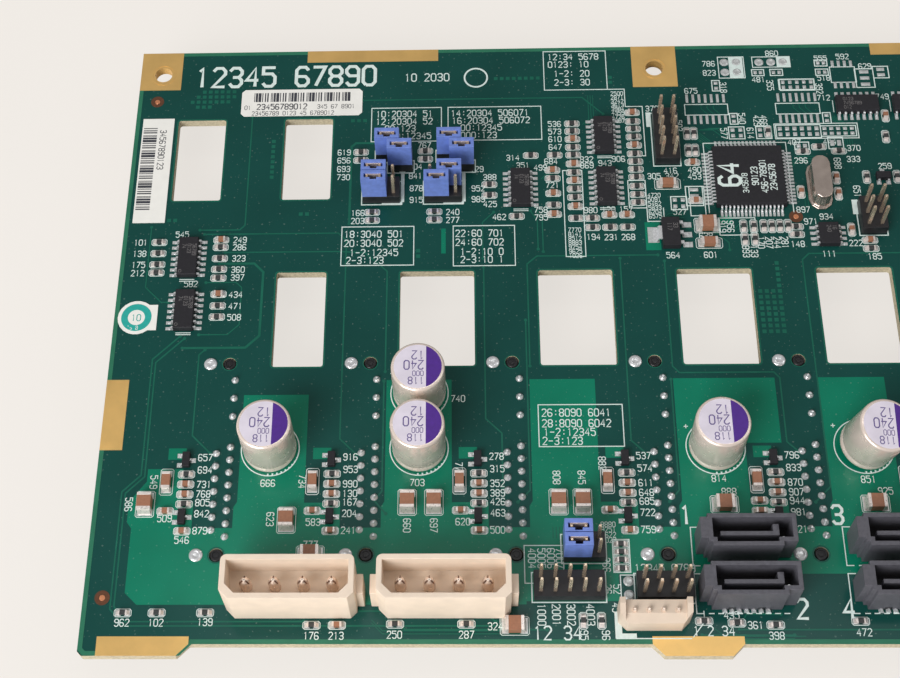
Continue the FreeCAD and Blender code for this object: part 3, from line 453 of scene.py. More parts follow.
TAGS_DOWN = in_columns(
    (10.9, 99.6), (6.6, 104.0), (33.0, 107.0), (58.1, 108.3), (63.0, 108.3), (38.6, 99.6), (67.6, 97.2),
    (85.6, 99.0), (90.2, 99.0), (94.1, 96.2), (120.4, 45.2), (122.0, 45.2), (124.6, 51.0), (126.2, 51.0),
    (127.7, 49.0), (129.3, 49.0), (130.9, 49.0), (132.4, 49.0), (123.4, 11.0), (133.2, 10.6),
    (143.3, 11.6), (129.6, 19.6), (131.0, 19.6), (113.5, 20.6), (126.6, 19.0), (122.6, 22.7),
    (128.0, 22.7), (148.0, 37.2), (144.9, 30.4),
)
BAY_TAGS = ((-3.3, 0.2), (-3.2, 2.7), (-3.2, 5.6), (-3.2, 7.5), (-3.2, 9.2), (-3.2, 11.4), (-3.3, 14.7))
TAG_STACKS = ((101.1, 12.2, 8, 0.93), (91.0, 45.6, 7, 0.93), (107.3, 37.6, 6, 0.93), (94.6, 108.2, 4, 0.95))
TAG_HEIGHT = 1.3
LARGE = 3
DOWN_START = 400
PORT_NUMBER_LEFT = -11.2
PORT_NUMBER_RIGHT = 7.9
PORT_NUMBER_DROPS = (-3.8, 5.0)
PORT_NUMBER_HEIGHT = 3.5

# Empty footprints: left and top pad, columns and rows with their steps, pad size. Those from FRAMED_PADS on
# have a printed frame.
FRAMED_PADS = 3
PAD_GRIDS = (
    (115.6, 13.8, 7, 2, 1.27, 5.4, 0.55, 2.1), (134.5, 13.8, 7, 2, 1.27, 5.4, 0.55, 2.1),
    (146.7, 5.3, 4, 2, 1.27, 5.5, 0.6, 1.6), (135.9, 9.9, 5, 2, 1.45, 1.3, 0.7, 0.8),
    (134.1, 21.7, 6, 2, 1.5, 1.4, 0.8, 0.9), (143.2, 21.8, 5, 2, 1.4, 1.2, 0.8, 0.7),
    (130.4, 7.3, 2, 1, 1.1, 0.0, 0.7, 0.8), (134.2, 7.3, 2, 1, 1.2, 0.0, 0.7, 0.8),
    (143.7, 5.0, 2, 1, 1.2, 0.0, 0.7, 0.8), (143.7, 7.4, 2, 1, 1.2, 0.0, 0.7, 0.8),
    (121.9, 9.9, 1, 2, 0.0, 1.3, 0.8, 0.7), (124.9, 18.4, 1, 2, 0.0, 1.3, 0.8, 0.7),
    (124.4, 21.9, 2, 2, 1.6, 1.4, 0.8, 0.8), (130.0, 21.9, 2, 2, 1.5, 1.4, 0.8, 0.8),
    (144.0, 18.5, 1, 2, 0.0, 1.3, 0.8, 0.7), (137.5, 26.0, 2, 1, 1.3, 0.0, 0.8, 0.9),
    (153.0, 7.5, 1, 3, 0.0, 1.6, 1.9, 0.8), (156.5, 6.9, 1, 2, 0.0, 1.4, 1.6, 0.8),
    (111.4, 38.8, 2, 2, 1.6, 1.5, 0.8, 0.8), (115.4, 36.4, 1, 3, 0.0, 1.5, 1.7, 0.8),
    (144.4, 25.4, 2, 1, 1.4, 0.0, 0.8, 1.4),
)
ROUND_PADS = in_columns(
    (124.1, 4.5), (126.6, 4.5), (124.1, 7.1), (126.6, 7.1), (131.4, 4.6), (133.9, 4.6), (136.4, 4.6),
    (97.7, 118.95, 121.5),
)

# Strokes of the figures, as points on a grid four wide and six high.
STROKES = {
    "0": ("10 30 41 45 36 16 05 01 10",),
    "1": ("15 26 20",),
    "2": ("05 16 36 45 44 00 40",),
    "3": ("05 16 36 45 44 33 42 41 30 10 01", "13 33"),
    "4": ("30 36 02 42",),
    "5": ("01 10 30 41 43 34 04 06 46",),
    "6": ("45 36 16 05 01 10 30 41 42 33 03",),
    "7": ("06 46 10",),
    "8": ("13 04 05 16 36 45 44 33 13 02 01 10 30 41 42 33",),
    "9": ("01 10 30 41 45 36 16 05 04 13 43",),
    "-": ("03 43",),
    "+": ("03 43", "25 21"),
    ":": ("21 22", "24 25"),
    " ": (),
}
FIGURE_ROWS = 6
NARROW = 0.78
ADVANCE = 5.6
FIGURE_GAP = 1.6
STROKE_LIFT = 8 * CREEP


def at(x, v, z):
    """A board place as a point of the model, in metres."""
    return Vector((BOARD_LOW.x + x * MM, BOARD_HIGH.y - v * MM, z * MM))


def bay_x(bay):
    """The line through a bay's two pegs."""
    return FIRST_BAY + PITCH * bay


def per_bay(places, bays=BAYS):
    """Places that repeat in every bay."""
    return [(bay_x(bay) + x, BAY_V + drop) for bay in bays for x, drop in places]


def circle(x, v, z, radius, count=24, start=0.0):
    """A level ring of points."""
    turns = [start + 2 * math.pi * step / count for step in range(count)]
    return [(x + radius * math.cos(turn), v + radius * math.sin(turn), z) for turn in turns]


def flat_circle(x, v, radius, count=32):
    """A circle as an outline."""
    return [point[:2] for point in circle(x, v, 0, radius, count)]


def oblong(x, v, z, length, depth, corner=0.0):
    """A level rectangle, with chamfered corners if corner is given."""
    a, b, c = length / 2, depth / 2, corner
    around = [(-a, -b), (a, -b), (a, b), (-a, b)]
    if corner:
        around = [(-a, -b + c), (-a + c, -b), (a - c, -b), (a, -b + c)]
        around += [(a, b - c), (a - c, b), (-a + c, b), (-a, b - c)]
    return [(x + i, v + j, z) for i, j in around]


class Shape:
    """The closed forms of one piece, gathered in board millimetres and moved by move where that is set."""

    def __init__(self):
        self.points = []
        self.faces = []
        self.kinds = []
        self.move = None

    def loft(self, rings, kind=0, loop=False):
        """A skin through rings of equal length, closed at both ends or round in a loop."""
        first = len(self.points)
        size = len(rings[0])
        count = len(rings)
        self.points += [self.move(point) if self.move else point for ring in rings for point in ring]
        faces = [] if loop else [range(size), range((count - 1) * size, count * size)]
        for level in range(count if loop else count - 1):
            here, there = level * size, (level + 1) % count * size
            for i in range(size):
                j = (i + 1) % size
                faces.append((here + i, here + j, there + j, there + i))
        self.faces += [[first + i for i in face] for face in faces]
        self.kinds += [kind] * len(faces)

    def prism(self, outline, low, high, kind=0):
        """An outline of (x, v) points raised from low to high."""
        self.loft([[(x, v, z) for x, v in outline] for z in (low, high)], kind)

    def box(self, x, v, size, z=None, kind=0):
        """A box centred on (x, v) with its foot at z."""
        length, depth, height = size
        foot = TOP if z is None else z
        self.loft([oblong(x, v, level, length, depth) for level in (foot, foot + height)], kind)

    def turned(self, x, v, profile, kind=0, count=24):
        """A lathe form from (radius, z) pairs."""
        self.loft([circle(x, v, z, radius, count) for radius, z in profile], kind)

    def ribbon(self, line, width, high=INK, low=0.0, kind=0, loop=False, base=None):
        """A flat strip of even width along a line, with mitred bends.

        It climbs by CREEP from point to point, so crossings stay clean.
        """
        foot = TOP if base is None else base
        half = width / 2
        count = len(line)
        rings = []
        for i, (x, v) in enumerate(line):
            before = line[i - 1] if i or loop else None
            after = line[(i + 1) % count] if i < count - 1 or loop else None
            ways = []
            for start, end in ((before, (x, v)), ((x, v), after)):
                if start and end:
                    dx, dv = end[0] - start[0], end[1] - start[1]
                    size = math.hypot(dx, dv) or 1.0
                    ways.append((dx / size, dv / size))
            across = [sum(way[1] for way in ways) / len(ways), -sum(way[0] for way in ways) / len(ways)]
            square = max(across[0] ** 2 + across[1] ** 2, 0.3)
            ax, av = across[0] / square * half, across[1] / square * half
            head = foot + high + i * CREEP
            one, other = (x + ax, v + av), (x - ax, v - av)
            rings.append([(*one, foot + low), (*other, foot + low), (*other, head), (*one, head)])
        self.loft(rings, kind, loop)

    def frame(self, left, top, right, bottom, width=LINE_WIDTH):
        """A rectangle drawn as a line."""
        self.ribbon([(left, top), (right, top), (right, bottom), (left, bottom)], width, loop=True)

    def ring(self, x, v, radius, width, high=INK, kind=0, count=32):
        """A circle drawn as a line."""
        self.ribbon(flat_circle(x, v, radius, count), width, high, kind=kind, loop=True)

    def figures(
        self, text, x, v, height, turn=0, weight=THIN, high=INK, kind=0, centred=False, base=None
    ):
        """Plain numbers, with the foot of the first one at (x, v), turned anticlockwise by turn degrees."""
        unit = height / FIGURE_ROWS
        along = Vector((math.cos(math.radians(turn)), -math.sin(math.radians(turn))))
        up = Vector((-math.sin(math.radians(turn)), -math.cos(math.radians(turn))))
        start = Vector((x, v))
        if centred:
            start -= along * (len(text) * ADVANCE - FIGURE_GAP) * unit * NARROW / 2 + up * height / 2
        for index, sign in enumerate(text):
            for lift, stroke in enumerate(STROKES[sign]):
                line = []
                for point in stroke.split():
                    right = (int(point[0]) + index * ADVANCE) * unit * NARROW
                    spot = start + along * right + up * int(point[1]) * unit
                    line.append(tuple(spot))
                self.ribbon(line, height * weight, high + lift * STROKE_LIFT, kind=kind, base=base)

    def piece(self, name, finishes, slot, replaces=(), bevel=0.0, smooth=SMOOTH):
        """Makes the piece, riding on the board's body."""
        mesh = bpy.data.meshes.new(name)
        mesh.from_pydata([at(*point) for point in self.points], [], self.faces)
        mesh.polygons.foreach_set("material_index", self.kinds)
        form = bmesh.new()
        form.from_mesh(mesh)
        bmesh.ops.recalc_face_normals(form, faces=form.faces)
        form.to_mesh(mesh)
        form.free()
        return settle(name, mesh, finishes, replaces, bevel, smooth)


def settle(name, mesh, finishes, replaces=(), bevel=0.0, smooth=SMOOTH):
    """Puts a mesh in the scene as a piece with its finishes."""
    piece = bpy.data.objects.new(name, mesh)
    bpy.context.scene.collection.objects.link(piece)
    for look in finishes:
        mesh.materials.append(look)
    mesh.polygons.foreach_set("use_smooth", [True] * len(mesh.polygons))
    mesh.set_sharp_from_angle(angle=math.radians(smooth))
    if bevel:
        edge = piece.modifiers.new("edge", "BEVEL")
        edge.width = bevel * MM
        edge.segments = 2
        edge.limit_method = "ANGLE"
        edge.angle_limit = math.radians(BEVEL_FROM)
        edge.harden_normals = True
    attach(piece, "root")
    if replaces:
        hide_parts(*replaces)
    return piece


def softened(node, look, bevel):
    """A copy of a CAD node with its sharp edges rounded."""
    form = bmesh.new()
    form.from_mesh(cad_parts[node].data)
    bmesh.ops.remove_doubles(form, verts=form.verts, dist=WELD * MM)
    bmesh.ops.dissolve_limit(form, angle_limit=math.radians(FLAT), verts=form.verts, edges=form.edges)
    mesh = bpy.data.meshes.new(node + "_soft")
    form.to_mesh(mesh)
    form.free()
    for layer in list(mesh.uv_layers):
        mesh.uv_layers.remove(layer)
    mesh.materials.clear()
    return settle(node + "_soft", mesh, [look], (node,), bevel, SOFT)


def colour(code):
    """A web colour as the linear values that Blender uses."""
    values = [int(code[i : i + 2], 16) / 255 for i in (1, 3, 5)]
    return tuple(v / 12.92 if v <= 0.04045 else ((v + 0.055) / 1.055) ** 2.4 for v in values)


def add_node(material, kind, values=(), feeds=()):
    """A new shader node with (socket, value) pairs set and (socket, source) pairs linked."""
    node = material.node_tree.nodes.new("ShaderNode" + kind)
    for socket, value in values:
        node.inputs[socket].default_value = value
    for socket, source in feeds:
        material.node_tree.links.new(source, node.inputs[socket])
    return node


def noise(material, place, size, detail):
    """A noise pattern whose grain is size millimetres."""
    values = (("Scale", 1 / (size * MM)), ("Detail", detail))
    return add_node(material, "TexNoise", values, (("Vector", place),)).outputs["Fac"]


def finish(
    name, code, rough, metal=0.0, spread=0.08, grain=1.5, bump=0.0, bump_size=0.3, level=0.5, dust=0.0
):
    """A finish whose colour and roughness wander a little, with a fine surface relief.

    spread is how far the colour wanders, grain and bump_size are millimetres, bump is the relief's height in
    millimetres, and dust is how strongly pale specks show.
    """
    material = bpy.data.materials.new(name)
    material.use_nodes = True
    shader = material.node_tree.nodes["Principled BSDF"]
    shader.inputs["Metallic"].default_value = metal
    shader.inputs["Specular IOR Level"].default_value = level
    place = add_node(material, "TexCoord").outputs["Object"]
    cloud = noise(material, place, grain, 5.0)
    ramp = add_node(material, "ValToRGB", feeds=(("Fac", cloud),))
    base = colour(code)
    darker = [part * (1 - spread) for part in base]
    lighter = [min(1.0, part * (1 + 2 * spread)) for part in base]
    for stop, position, tone in zip(ramp.color_ramp.elements, RAMP_STOPS, (darker, lighter)):
        stop.position = position
        stop.color = (*tone, 1)
    tint = ramp.outputs["Color"]
    if dust:
        specks = noise(material, place, DUST_SIZE, 0.0)
        values = (("From Min", DUST_START), ("From Max", DUST_FULL), ("To Max", dust))
        share = add_node(material, "MapRange", values, (("Value", specks),)).outputs["Result"]
        pale = (("Color2", (*colour(DUST_COLOUR), 1)),)
        tint = add_node(material, "MixRGB", pale, (("Fac", share), ("Color1", tint))).outputs["Color"]
    values = (("To Min", rough * ROUGH_LEAST), ("To Max", min(1.0, rough * ROUGH_MOST)))
    feeds = {
        "Base Color": tint,
        "Roughness": add_node(material, "MapRange", values, (("Value", cloud),)).outputs["Result"],
    }
    if bump:
        relief = noise(material, place, bump_size, 3.0)
        raised = add_node(material, "Bump", (("Distance", bump * MM),), (("Height", relief),))
        feeds["Normal"] = raised.outputs["Normal"]
    for socket, source in feeds.items():
        material.node_tree.links.new(source, shader.inputs[socket])
    return material


MASK = finish(
    "mask", "#114640", 0.2, spread=0.06, grain=14.0, bump=0.008, bump_size=2.5, level=0.2, dust=0.16
)
MASK_COPPER = finish(
    "mask_copper", "#0a765b", 0.2, spread=0.06, grain=10.0, bump=0.008, bump_size=2.0, level=0.22, dust=0.12
)
MASK_TRACE = finish("mask_over_trace", "#19604f", 0.25, spread=0.08, grain=4.0, level=0.22)
MASK_CLEAR = finish("mask_over_laminate", "#2f7258", 0.3, spread=0.08, grain=3.0, level=0.22)
LAMINATE = finish(
    "laminate_edge", "#bcb197", 0.75, spread=0.16, grain=0.5, bump=0.03, bump_size=0.15, level=0.3
)
# Bare laminate, which also serves as painted shade in the creases of the power pins' tips.
BARE_AND_CREASE_SHADE = finish("bare_laminate_and_crease_shade", "#5e3b28", 0.55, spread=0.12, grain=0.5, level=0.3)
COPPER_DOT = finish("bare_copper", "#e0936a", 0.3, metal=0.6, spread=0.08, grain=0.4)
GOLD = finish("gold_land", "#efc378", 0.32, metal=0.65, spread=0.07, grain=6.0, bump=0.008, bump_size=0.8)
GOLD_PIN = finish("gold_pin", "#dcc6ae", 0.2, metal=0.75, spread=0.06, grain=0.8)
SOLDER = finish("solder", "#e9eaec", 0.22, metal=0.65, spread=0.08, grain=0.5, bump=0.02, bump_size=0.3)
TINNED = finish("tinned_pad", "#cdd0cf", 0.32, metal=0.5, spread=0.1, grain=0.7, bump=0.02, bump_size=0.4)
LEGEND = finish("legend_ink", "#dbe9e4", 0.55, spread=0.05, grain=0.6, level=0.3)
ALUMINIUM = finish(
    "can_aluminium", "#f4e3d7", 0.26, metal=0.45, spread=0.05, grain=2.5, bump=0.006, bump_size=0.4
)
CAN_FACE = finish("can_face", "#e3dbe8", 0.33, metal=0.15, spread=0.05, grain=3.0, bump=0.005, bump_size=0.5)
PURPLE = finish("can_stripe", "#4a1f86", 0.38, spread=0.08, grain=1.0)
PURPLE_INK = finish("can_ink", "#5b4a86", 0.45, spread=0.1, grain=0.4)
RUBBER = finish("seal_rubber", "#2a2828", 0.65, spread=0.15, grain=0.6, bump=0.02)
NYLON = finish("nylon", "#ecd9c5", 0.4, spread=0.03, grain=2.5, bump=0.012, bump_size=0.7, level=0.4)
# A darker copy of the nylon for the wire header: painted shade, toning down the strong front light that falls
# on it.
NYLON_SHADED = finish(
    "nylon_painted_shade", "#d6c3b0", 0.4, spread=0.03, grain=2.5, bump=0.012, bump_size=0.7, level=0.4
)
TIN = finish("tin_pin", "#ecd8c8", 0.25, metal=0.6, spread=0.08, grain=0.8, bump=0.01, bump_size=0.2)
PORT = finish("port_plastic", "#55545b", 0.42, spread=0.12, grain=0.7, bump=0.02, bump_size=0.2, level=0.45)
# Black plastic, which also serves as painted shade inside the serial ports.
BLACK = finish("black_plastic_and_painted_shade", "#1c1c1f", 0.42, spread=0.15, grain=0.9, bump=0.015, bump_size=0.25)
RECEPTACLE = finish("receptacle_plastic", "#17171a", 0.38, spread=0.14, grain=1.6, bump=0.015, bump_size=0.3)
BLUE = finish("shunt_plastic", "#6c84cc", 0.36, spread=0.08, grain=0.9, bump=0.01, bump_size=0.25)
CHIP = finish("chip_mould", "#262529", 0.5, spread=0.12, grain=0.5, bump=0.012, bump_size=0.12, level=0.3)
CHIP_PRINT = finish("chip_print", "#6f6c6c", 0.6, spread=0.1, grain=0.3)
STEEL = finish("crystal_steel", "#c9bab0", 0.24, metal=0.9, spread=0.06, grain=1.5, bump=0.006, bump_size=0.4)
BROWN = finish("ceramic_body", "#9d6c52", 0.4, spread=0.08, grain=0.5, bump=0.01, bump_size=0.12)
TERMINAL = finish(
    "part_terminal", "#e8ded8", 0.28, metal=0.5, spread=0.07, grain=0.4, bump=0.01, bump_size=0.15
)
DARK = finish("resistor_body", "#383a3a", 0.35, spread=0.15, grain=0.4)
PAPER = finish("label_paper", "#f1efe9", 0.6, spread=0.02, grain=2.0, bump=0.004, bump_size=0.2, level=0.3)
PRINT = finish("label_print", "#3d3f46", 0.6, spread=0.12, grain=0.3, level=0.3)
TEAL = finish("label_teal", "#2aa79c", 0.5, spread=0.06, grain=0.8, level=0.3)


def filled(name, loops, low, high):
    """A flat mesh between two heights, bounded by the first loop and pierced by the others."""
    line = bpy.data.curves.new(name, "CURVE")
    line.dimensions = "2D"
    line.fill_mode = "BOTH"
    line.extrude = (high - low) / 2 * MM
    for loop in loops:
        spline = line.splines.new("POLY")
        spline.points.add(len(loop) - 1)
        for point, (x, v) in zip(spline.points, loop):
            place = at(x, v, 0)
            point.co = (place.x, place.y, 0, 1)
        spline.use_cyclic_u = True
    holder = bpy.data.objects.new(name, line)
    mesh = bpy.data.meshes.new_from_object(holder)
    mesh.transform(Matrix.Translation((0, 0, (low + high) / 2 * MM)))
    bpy.data.objects.remove(holder)
    bpy.data.curves.remove(line)
    form = bmesh.new()
    form.from_mesh(mesh)
    bmesh.ops.remove_doubles(form, verts=form.verts, dist=FLAT_WELD * MM)
    bmesh.ops.recalc_face_normals(form, faces=form.faces)
    form.to_mesh(mesh)
    form.free()
    return mesh


def board_outline():
    """The board's edge, with its three tabs along the bottom."""
    centre = WIDTH / 2
    tab_v = DEPTH - TAB_DEPTH
    left = [
        (centre - CENTRE_TAB / 2 + TAB_DEPTH, DEPTH),
        (centre - CENTRE_TAB / 2, tab_v),
        (CORNER_TAB, tab_v),
        (CORNER_TAB - TAB_DEPTH, DEPTH),
        (CORNER_CHAMFER, DEPTH),
        (0, DEPTH - CORNER_CHAMFER),
        (0, 0),
    ]
    return left + [(WIDTH - x, v) for x, v in reversed(left)]


def rounded(left, top, width, depth, radius):
    """A rectangle's outline with round corners."""
    corners = ((left + radius, top + radius, 180), (left + width - radius, top + radius, 270))
    corners += ((left + width - radius, top + depth - radius, 0), (left + radius, top + depth - radius, 90))
    outline = []
    for x, v, start in corners:
        for step in range(CORNER_STEPS + 1):
            turn = math.radians(start + 90 * step / CORNER_STEPS)
            outline.append((x + radius * math.cos(turn), v + radius * math.sin(turn)))
    return outline


def board():
    """The laminate: green mask above and below, bare laminate at its edges."""
    loops = [board_outline()]
    loops += [rounded(*window, WINDOW_CORNER) for window in HIGH_WINDOWS + LOW_WINDOWS]
    loops += [flat_circle(x, v, SCREW_RADIUS, 40) for x, v in SCREW_HOLES]
    loops += [flat_circle(x, v, PEG_HOLE) for x, v in peg_places()]
    mesh = filled("board_laminate", loops, UNDER, TOP)
    sides = [0 if abs(face.normal.z) > 0.5 else 1 for face in mesh.polygons]
    mesh.polygons.foreach_set("material_index", sides)
    settle("board_laminate", mesh, [MASK, LAMINATE], ("board",), smooth=CRISP)


def peg_places():
    """Every locating peg."""
    return per_bay(((0.0, -PEG_DROP), (0.0, PEG_DROP)))


def tail_places():
    """Where the receptacles' contacts come through the board."""
    right, left = TAIL_COLUMNS
    places = [(right, FIRST_CONTACT + CONTACT_PITCH * step) for step in (0, 3, 6)]
    for step in range(POWER_CONTACTS):
        places.append((left if step % 2 else right, POWER_CONTACT + CONTACT_PITCH * step))
    return per_bay(places)


def copper():
    """Pours, traces and the lighter band round the edges."""
    high = TOP + COPPER
    outline = list(POUR_START)
    low, high_shoulder, last = POUR_SHOULDERS
    for bay, top in enumerate(POUR_TOPS):
        left, right = bay_x(bay), bay_x(bay + 1)
        near, inner, far, outer = left + POUR_NEAR, left + POUR_INNER, right - POUR_FAR, right - POUR_OUTER
        outline += [(near, POUR_FOOT), (near, low), (inner, high_shoulder), (inner, top)]
        if bay == STEPPED_POUR:
            outline += [(POUR_STEP[0], top), POUR_STEP, (far, POUR_STEP[1])]
        else:
            outline.append((far, top))
        outline += [(far, last), (outer, last), (outer, POUR_FOOT)]
    outline += [(bay_x(BAYS[-1]) + POUR_NEAR, POUR_FOOT), *POUR_END]
    holes = [flat_circle(x, v, PEG_CLEARING) for x, v in per_bay(((0.0, PEG_DROP),))]
    mesh = filled("main_pour", [outline] + holes, TOP, high)
    settle("main_pour", mesh, [MASK_COPPER], smooth=CRISP)

    pours = Shape()
    for left, top, right, bottom in SMALL_POURS:
        pours.prism([(left, top), (right, top), (right, bottom), (left, bottom)], TOP, high)
    for x, v in per_bay(BAY_POUR):
        pours.box(x, v, BAY_POUR_SIZE)
    pours.piece("small_pours", [MASK_COPPER], "mask_over_copper")

    traces = Shape()
    for index, (width, line) in enumerate(TRACES):
        traces.ribbon(line, width, COPPER + index * CREEP)
        for end in (line[0], line[-1]):
            traces.turned(*end, VIA, count=14)
    for line, count, across, down in BUSES:
        for lane in range(count):
            traces.ribbon([(x + across * lane, v + down * lane) for x, v in line], BUS_WIDTH, COPPER)
    for x, v, columns, rows in THIEVING:
        for i in range(columns):
            for j in range(rows):
                traces.box(x + i * THIEF_PITCH, v + j * THIEF_PITCH, (THIEF_SIZE, THIEF_SIZE, COPPER))
    traces.piece("copper_traces", [MASK_TRACE], "mask_over_copper")

    bands = Shape()
    for left, top, width, depth in HIGH_WINDOWS + LOW_WINDOWS:
        around = rounded(left - 0.2, top - 0.2, width + 0.4, depth + 0.4, WINDOW_CORNER + 0.2)
        bands.ribbon(around, 0.3, COPPER, kind=1, loop=True)
    edge = []
    for x, v in board_outline():
        inwards = BAND_INSET if x < WIDTH / 2 else -BAND_INSET
        edge.append((x + inwards, v - BAND_INSET if v else v + BAND_INSET))
    bands.ribbon(edge, BAND_WIDTH, COPPER, loop=True)
    bands.piece("clear_bands", [MASK_CLEAR, MASK_TRACE], "laminate")

    rings = Shape()
    for x, v in FIDUCIALS:
        rings.ring(x, v, 0.98, 0.8, COPPER, kind=1)
        rings.turned(x, v, ((0.55, TOP), (0.5, TOP + PAD)), kind=0)
    for x, v in SCREW_HOLES:
        hole = flat_circle(x, v, SCREW_RADIUS - 0.04, 40)
        rings.ribbon(hole, 0.12, 0.05, low=UNDER - TOP, kind=2, loop=True)
        rings.ring(x, v, SCREW_RADIUS + 0.5, 0.3, 0.09, kind=2, count=40)
    rings.piece("fiducials", [COPPER_DOT, BARE_AND_CREASE_SHADE, GOLD], "gold_land")


def numbered(index):
    """A three-figure number that differs from tag to tag."""
    return str(101 + index * 37 % 897)


def legend():
    """The printed legend: frames, component outlines, solid marks and plain numbers."""
    lines = Shape()
    for left, top, right, bottom in FRAMES:
        lines.frame(left, top, right, bottom)
    for line in LINES:
        lines.ribbon(line, LINE_WIDTH)
    for x, v in port_places():
        lines.ribbon([(x + dx, v + dv) for dx, dv in PORT_BRACKET], LINE_WIDTH)
        for step in range(PORT_DASHES):
            lines.ribbon([(x + end + DASH_PITCH * step, v + PORT_FRONT) for end in DASH_ENDS], LINE_WIDTH)
    for x, v, columns, rows, _ in HEADERS:
        right, bottom = x + (columns - 1) * GRID + HEADER_EDGE, v + (rows - 1) * GRID + HEADER_EDGE
        lines.frame(x - HEADER_EDGE, v - HEADER_EDGE, right, bottom, 0.22)
    for x, v in CAN_PLACES + (LEANING_CAN,):
        lines.ring(x, v, CAN_RING, 0.2, count=48)
        lines.ribbon([(x - 5.6, v - 4.2), (x - 4.8, v - 4.2)], 0.16)
        lines.ribbon([(x - 5.2, v - 4.6), (x - 5.2, v - 3.8)], 0.16)
        for step in range(CAN_HATCHES):
            turn = math.radians(20 + 9 * step)
            side = x + CAN_RING * math.cos(turn)
            lines.ribbon([(side, v + reach * math.sin(turn)) for reach in (5.0, CAN_RING)], 0.3)
    for x, v in LOGIC_TALL:
        for drop in (4.75, 5.15):
            lines.ribbon([(x - 1.5, v + drop), (x + 1.5, v + drop)], 0.16)
    for x, v in LOGIC_WIDE:
        lines.ribbon([(x - 4.75, v - 1.5), (x - 4.75, v + 1.5)], 0.16)
    for x, v, tall in small_places():
        part_frame(lines, x, v, SMALL_FRAME, tall)
    for places, size, tall in (
        (per_bay((BAY_LONG,)), LONG_FRAME, True), (LONG_WIDE, LONG_FRAME, False),
        (BULK_TALL, BULK_FRAME, True), (wide_bulk(), BULK_FRAME, False),
    ):
        for x, v in places:
            part_frame(lines, x, v, size, tall)
    for left, top, columns, rows, step_x, step_v, width, height in PAD_GRIDS[FRAMED_PADS:]:
        right, bottom = left + (columns - 1) * step_x, top + (rows - 1) * step_v
        lines.frame(left - width, top - height, right + width, bottom + height, 0.2)
    lines.ring(*MARK_RING, 0.35)
    lines.piece("legend_lines", [LEGEND], "legend_ink", smooth=CRISP)

    marks = Shape()
    for index, (x, v, length, depth) in enumerate(SOLID_MARKS):
        marks.box(x, v, (length, depth, MARK_HIGH + index * CREEP))
    marks.piece("legend_marks", [LEGEND], "legend_ink", smooth=CRISP)

    numbers = Shape()
    for height, turn, rows in NUMBERS:
        for text, x, v in rows:
            numbers.figures(text, x, v, height, turn, THIN if height < LARGE else 0.145)
    for index, (x, v) in enumerate(TAGS_ACROSS + per_bay(BAY_TAGS)):
        numbers.figures(numbered(index), x, v, TAG_HEIGHT, centred=True)
    for index, (x, v) in enumerate(TAGS_DOWN):
        numbers.figures(numbered(index + DOWN_START), x, v, TAG_HEIGHT, -90, centred=True)
    for x, v, count, height in TAG_STACKS:
        for row in range(count):
            numbers.figures(numbered(row + int(x)) + str(row), x, v + row * 1.0, height, centred=True)
    for index, (x, v) in enumerate(port_places()):
        side = PORT_NUMBER_RIGHT if index == 1 else PORT_NUMBER_LEFT
        drop = PORT_NUMBER_DROPS[index % 2]
        numbers.figures(str(index + 1), x + side, v + drop, PORT_NUMBER_HEIGHT, weight=0.15)
    numbers.piece("legend_numbers", [LEGEND], "legend_ink", smooth=CRISP)


def part_frame(lines, x, v, size, tall):
    """A frame with cut corners round one small part."""
    length, depth = reversed(size) if tall else size
    outline = [point[:2] for point in oblong(x, v, 0, length, depth, 0.3)]
    lines.ribbon(outline, FRAME_WIDTH, loop=True)


def bay_resistors():
    """The resistors that repeat in the bays."""
    return per_bay(BAY_RESISTORS) + per_bay((PORT_BAY_RESISTOR,), PORT_BAYS)


def bay_ceramics():
    """The small ceramics that repeat in the bays."""
    left, right = per_bay(LEFT_BAY_CERAMICS, BAYS[:4]), per_bay(RIGHT_BAY_CERAMICS, BAYS[4:])
    return per_bay(BAY_CERAMICS) + left + right


def wide_bulk():
    """The large ceramics whose long side runs across the board."""
    return BULK_WIDE + per_bay((PORT_BAY_BULK,), PORT_BAYS)


def small_places():
    """Every resistor and small ceramic, as x, v and whether its long side runs down the board."""
    wide = RESISTORS_WIDE + CERAMICS_WIDE + per_bay(BAY_RESISTORS) + bay_ceramics()
    wide += per_bay((PORT_BAY_RESISTOR,), PORT_BAYS)
    tall = RESISTORS_TALL + CERAMICS_TALL
    return [(x, v, False) for x, v in wide] + [(x, v, True) for x, v in tall]


def bar_spans(start, end, step=0):
    """Where each bar of a code starts and how wide it is, from start until end is passed."""
    spans = []
    while start < end:
        width = BARS[step * 3 % len(BARS)]
        spans.append((start, width))
        start += width + BARS[(step * 5 + 2) % len(BARS)] * 0.8
        step += 1
    return spans


def labels():
    """Bars and plain numbers on the two paper labels, and the coloured disc on the round one."""
    ink = Shape()
    base = TOP + LABEL_THICKNESS
    across = bar_spans(*WIDE_BARS)
    for x, width in across:
        ink.box(x + width / 2, 12.1, (width, 2.3, LABEL_INK), base)
    for v, width in bar_spans(*TALL_BARS, len(across)):
        ink.box(3.3, v + width / 2, (2.9, width, LABEL_INK), base)
    for text, x, v, height, turn, weight in LABEL_TEXT:
        ink.figures(text, x, v, height, turn, weight, LABEL_INK, base=base)
    ink.piece("label_bars", [PRINT], "label_white", smooth=CRISP)

    disc = Shape()
    x, v = ROUND_LABEL
    disc.ribbon(flat_circle(x, v, 2.35, 48), 1.3, 0.012, loop=True, base=base)
    for text, left, foot, height, high, kind in DISC_TEXT:
        disc.figures(text, x + left, v + foot, height, high=high, kind=kind, base=base)
    disc.piece("label_disc", [TEAL, PAPER], "label_white", smooth=CRISP)


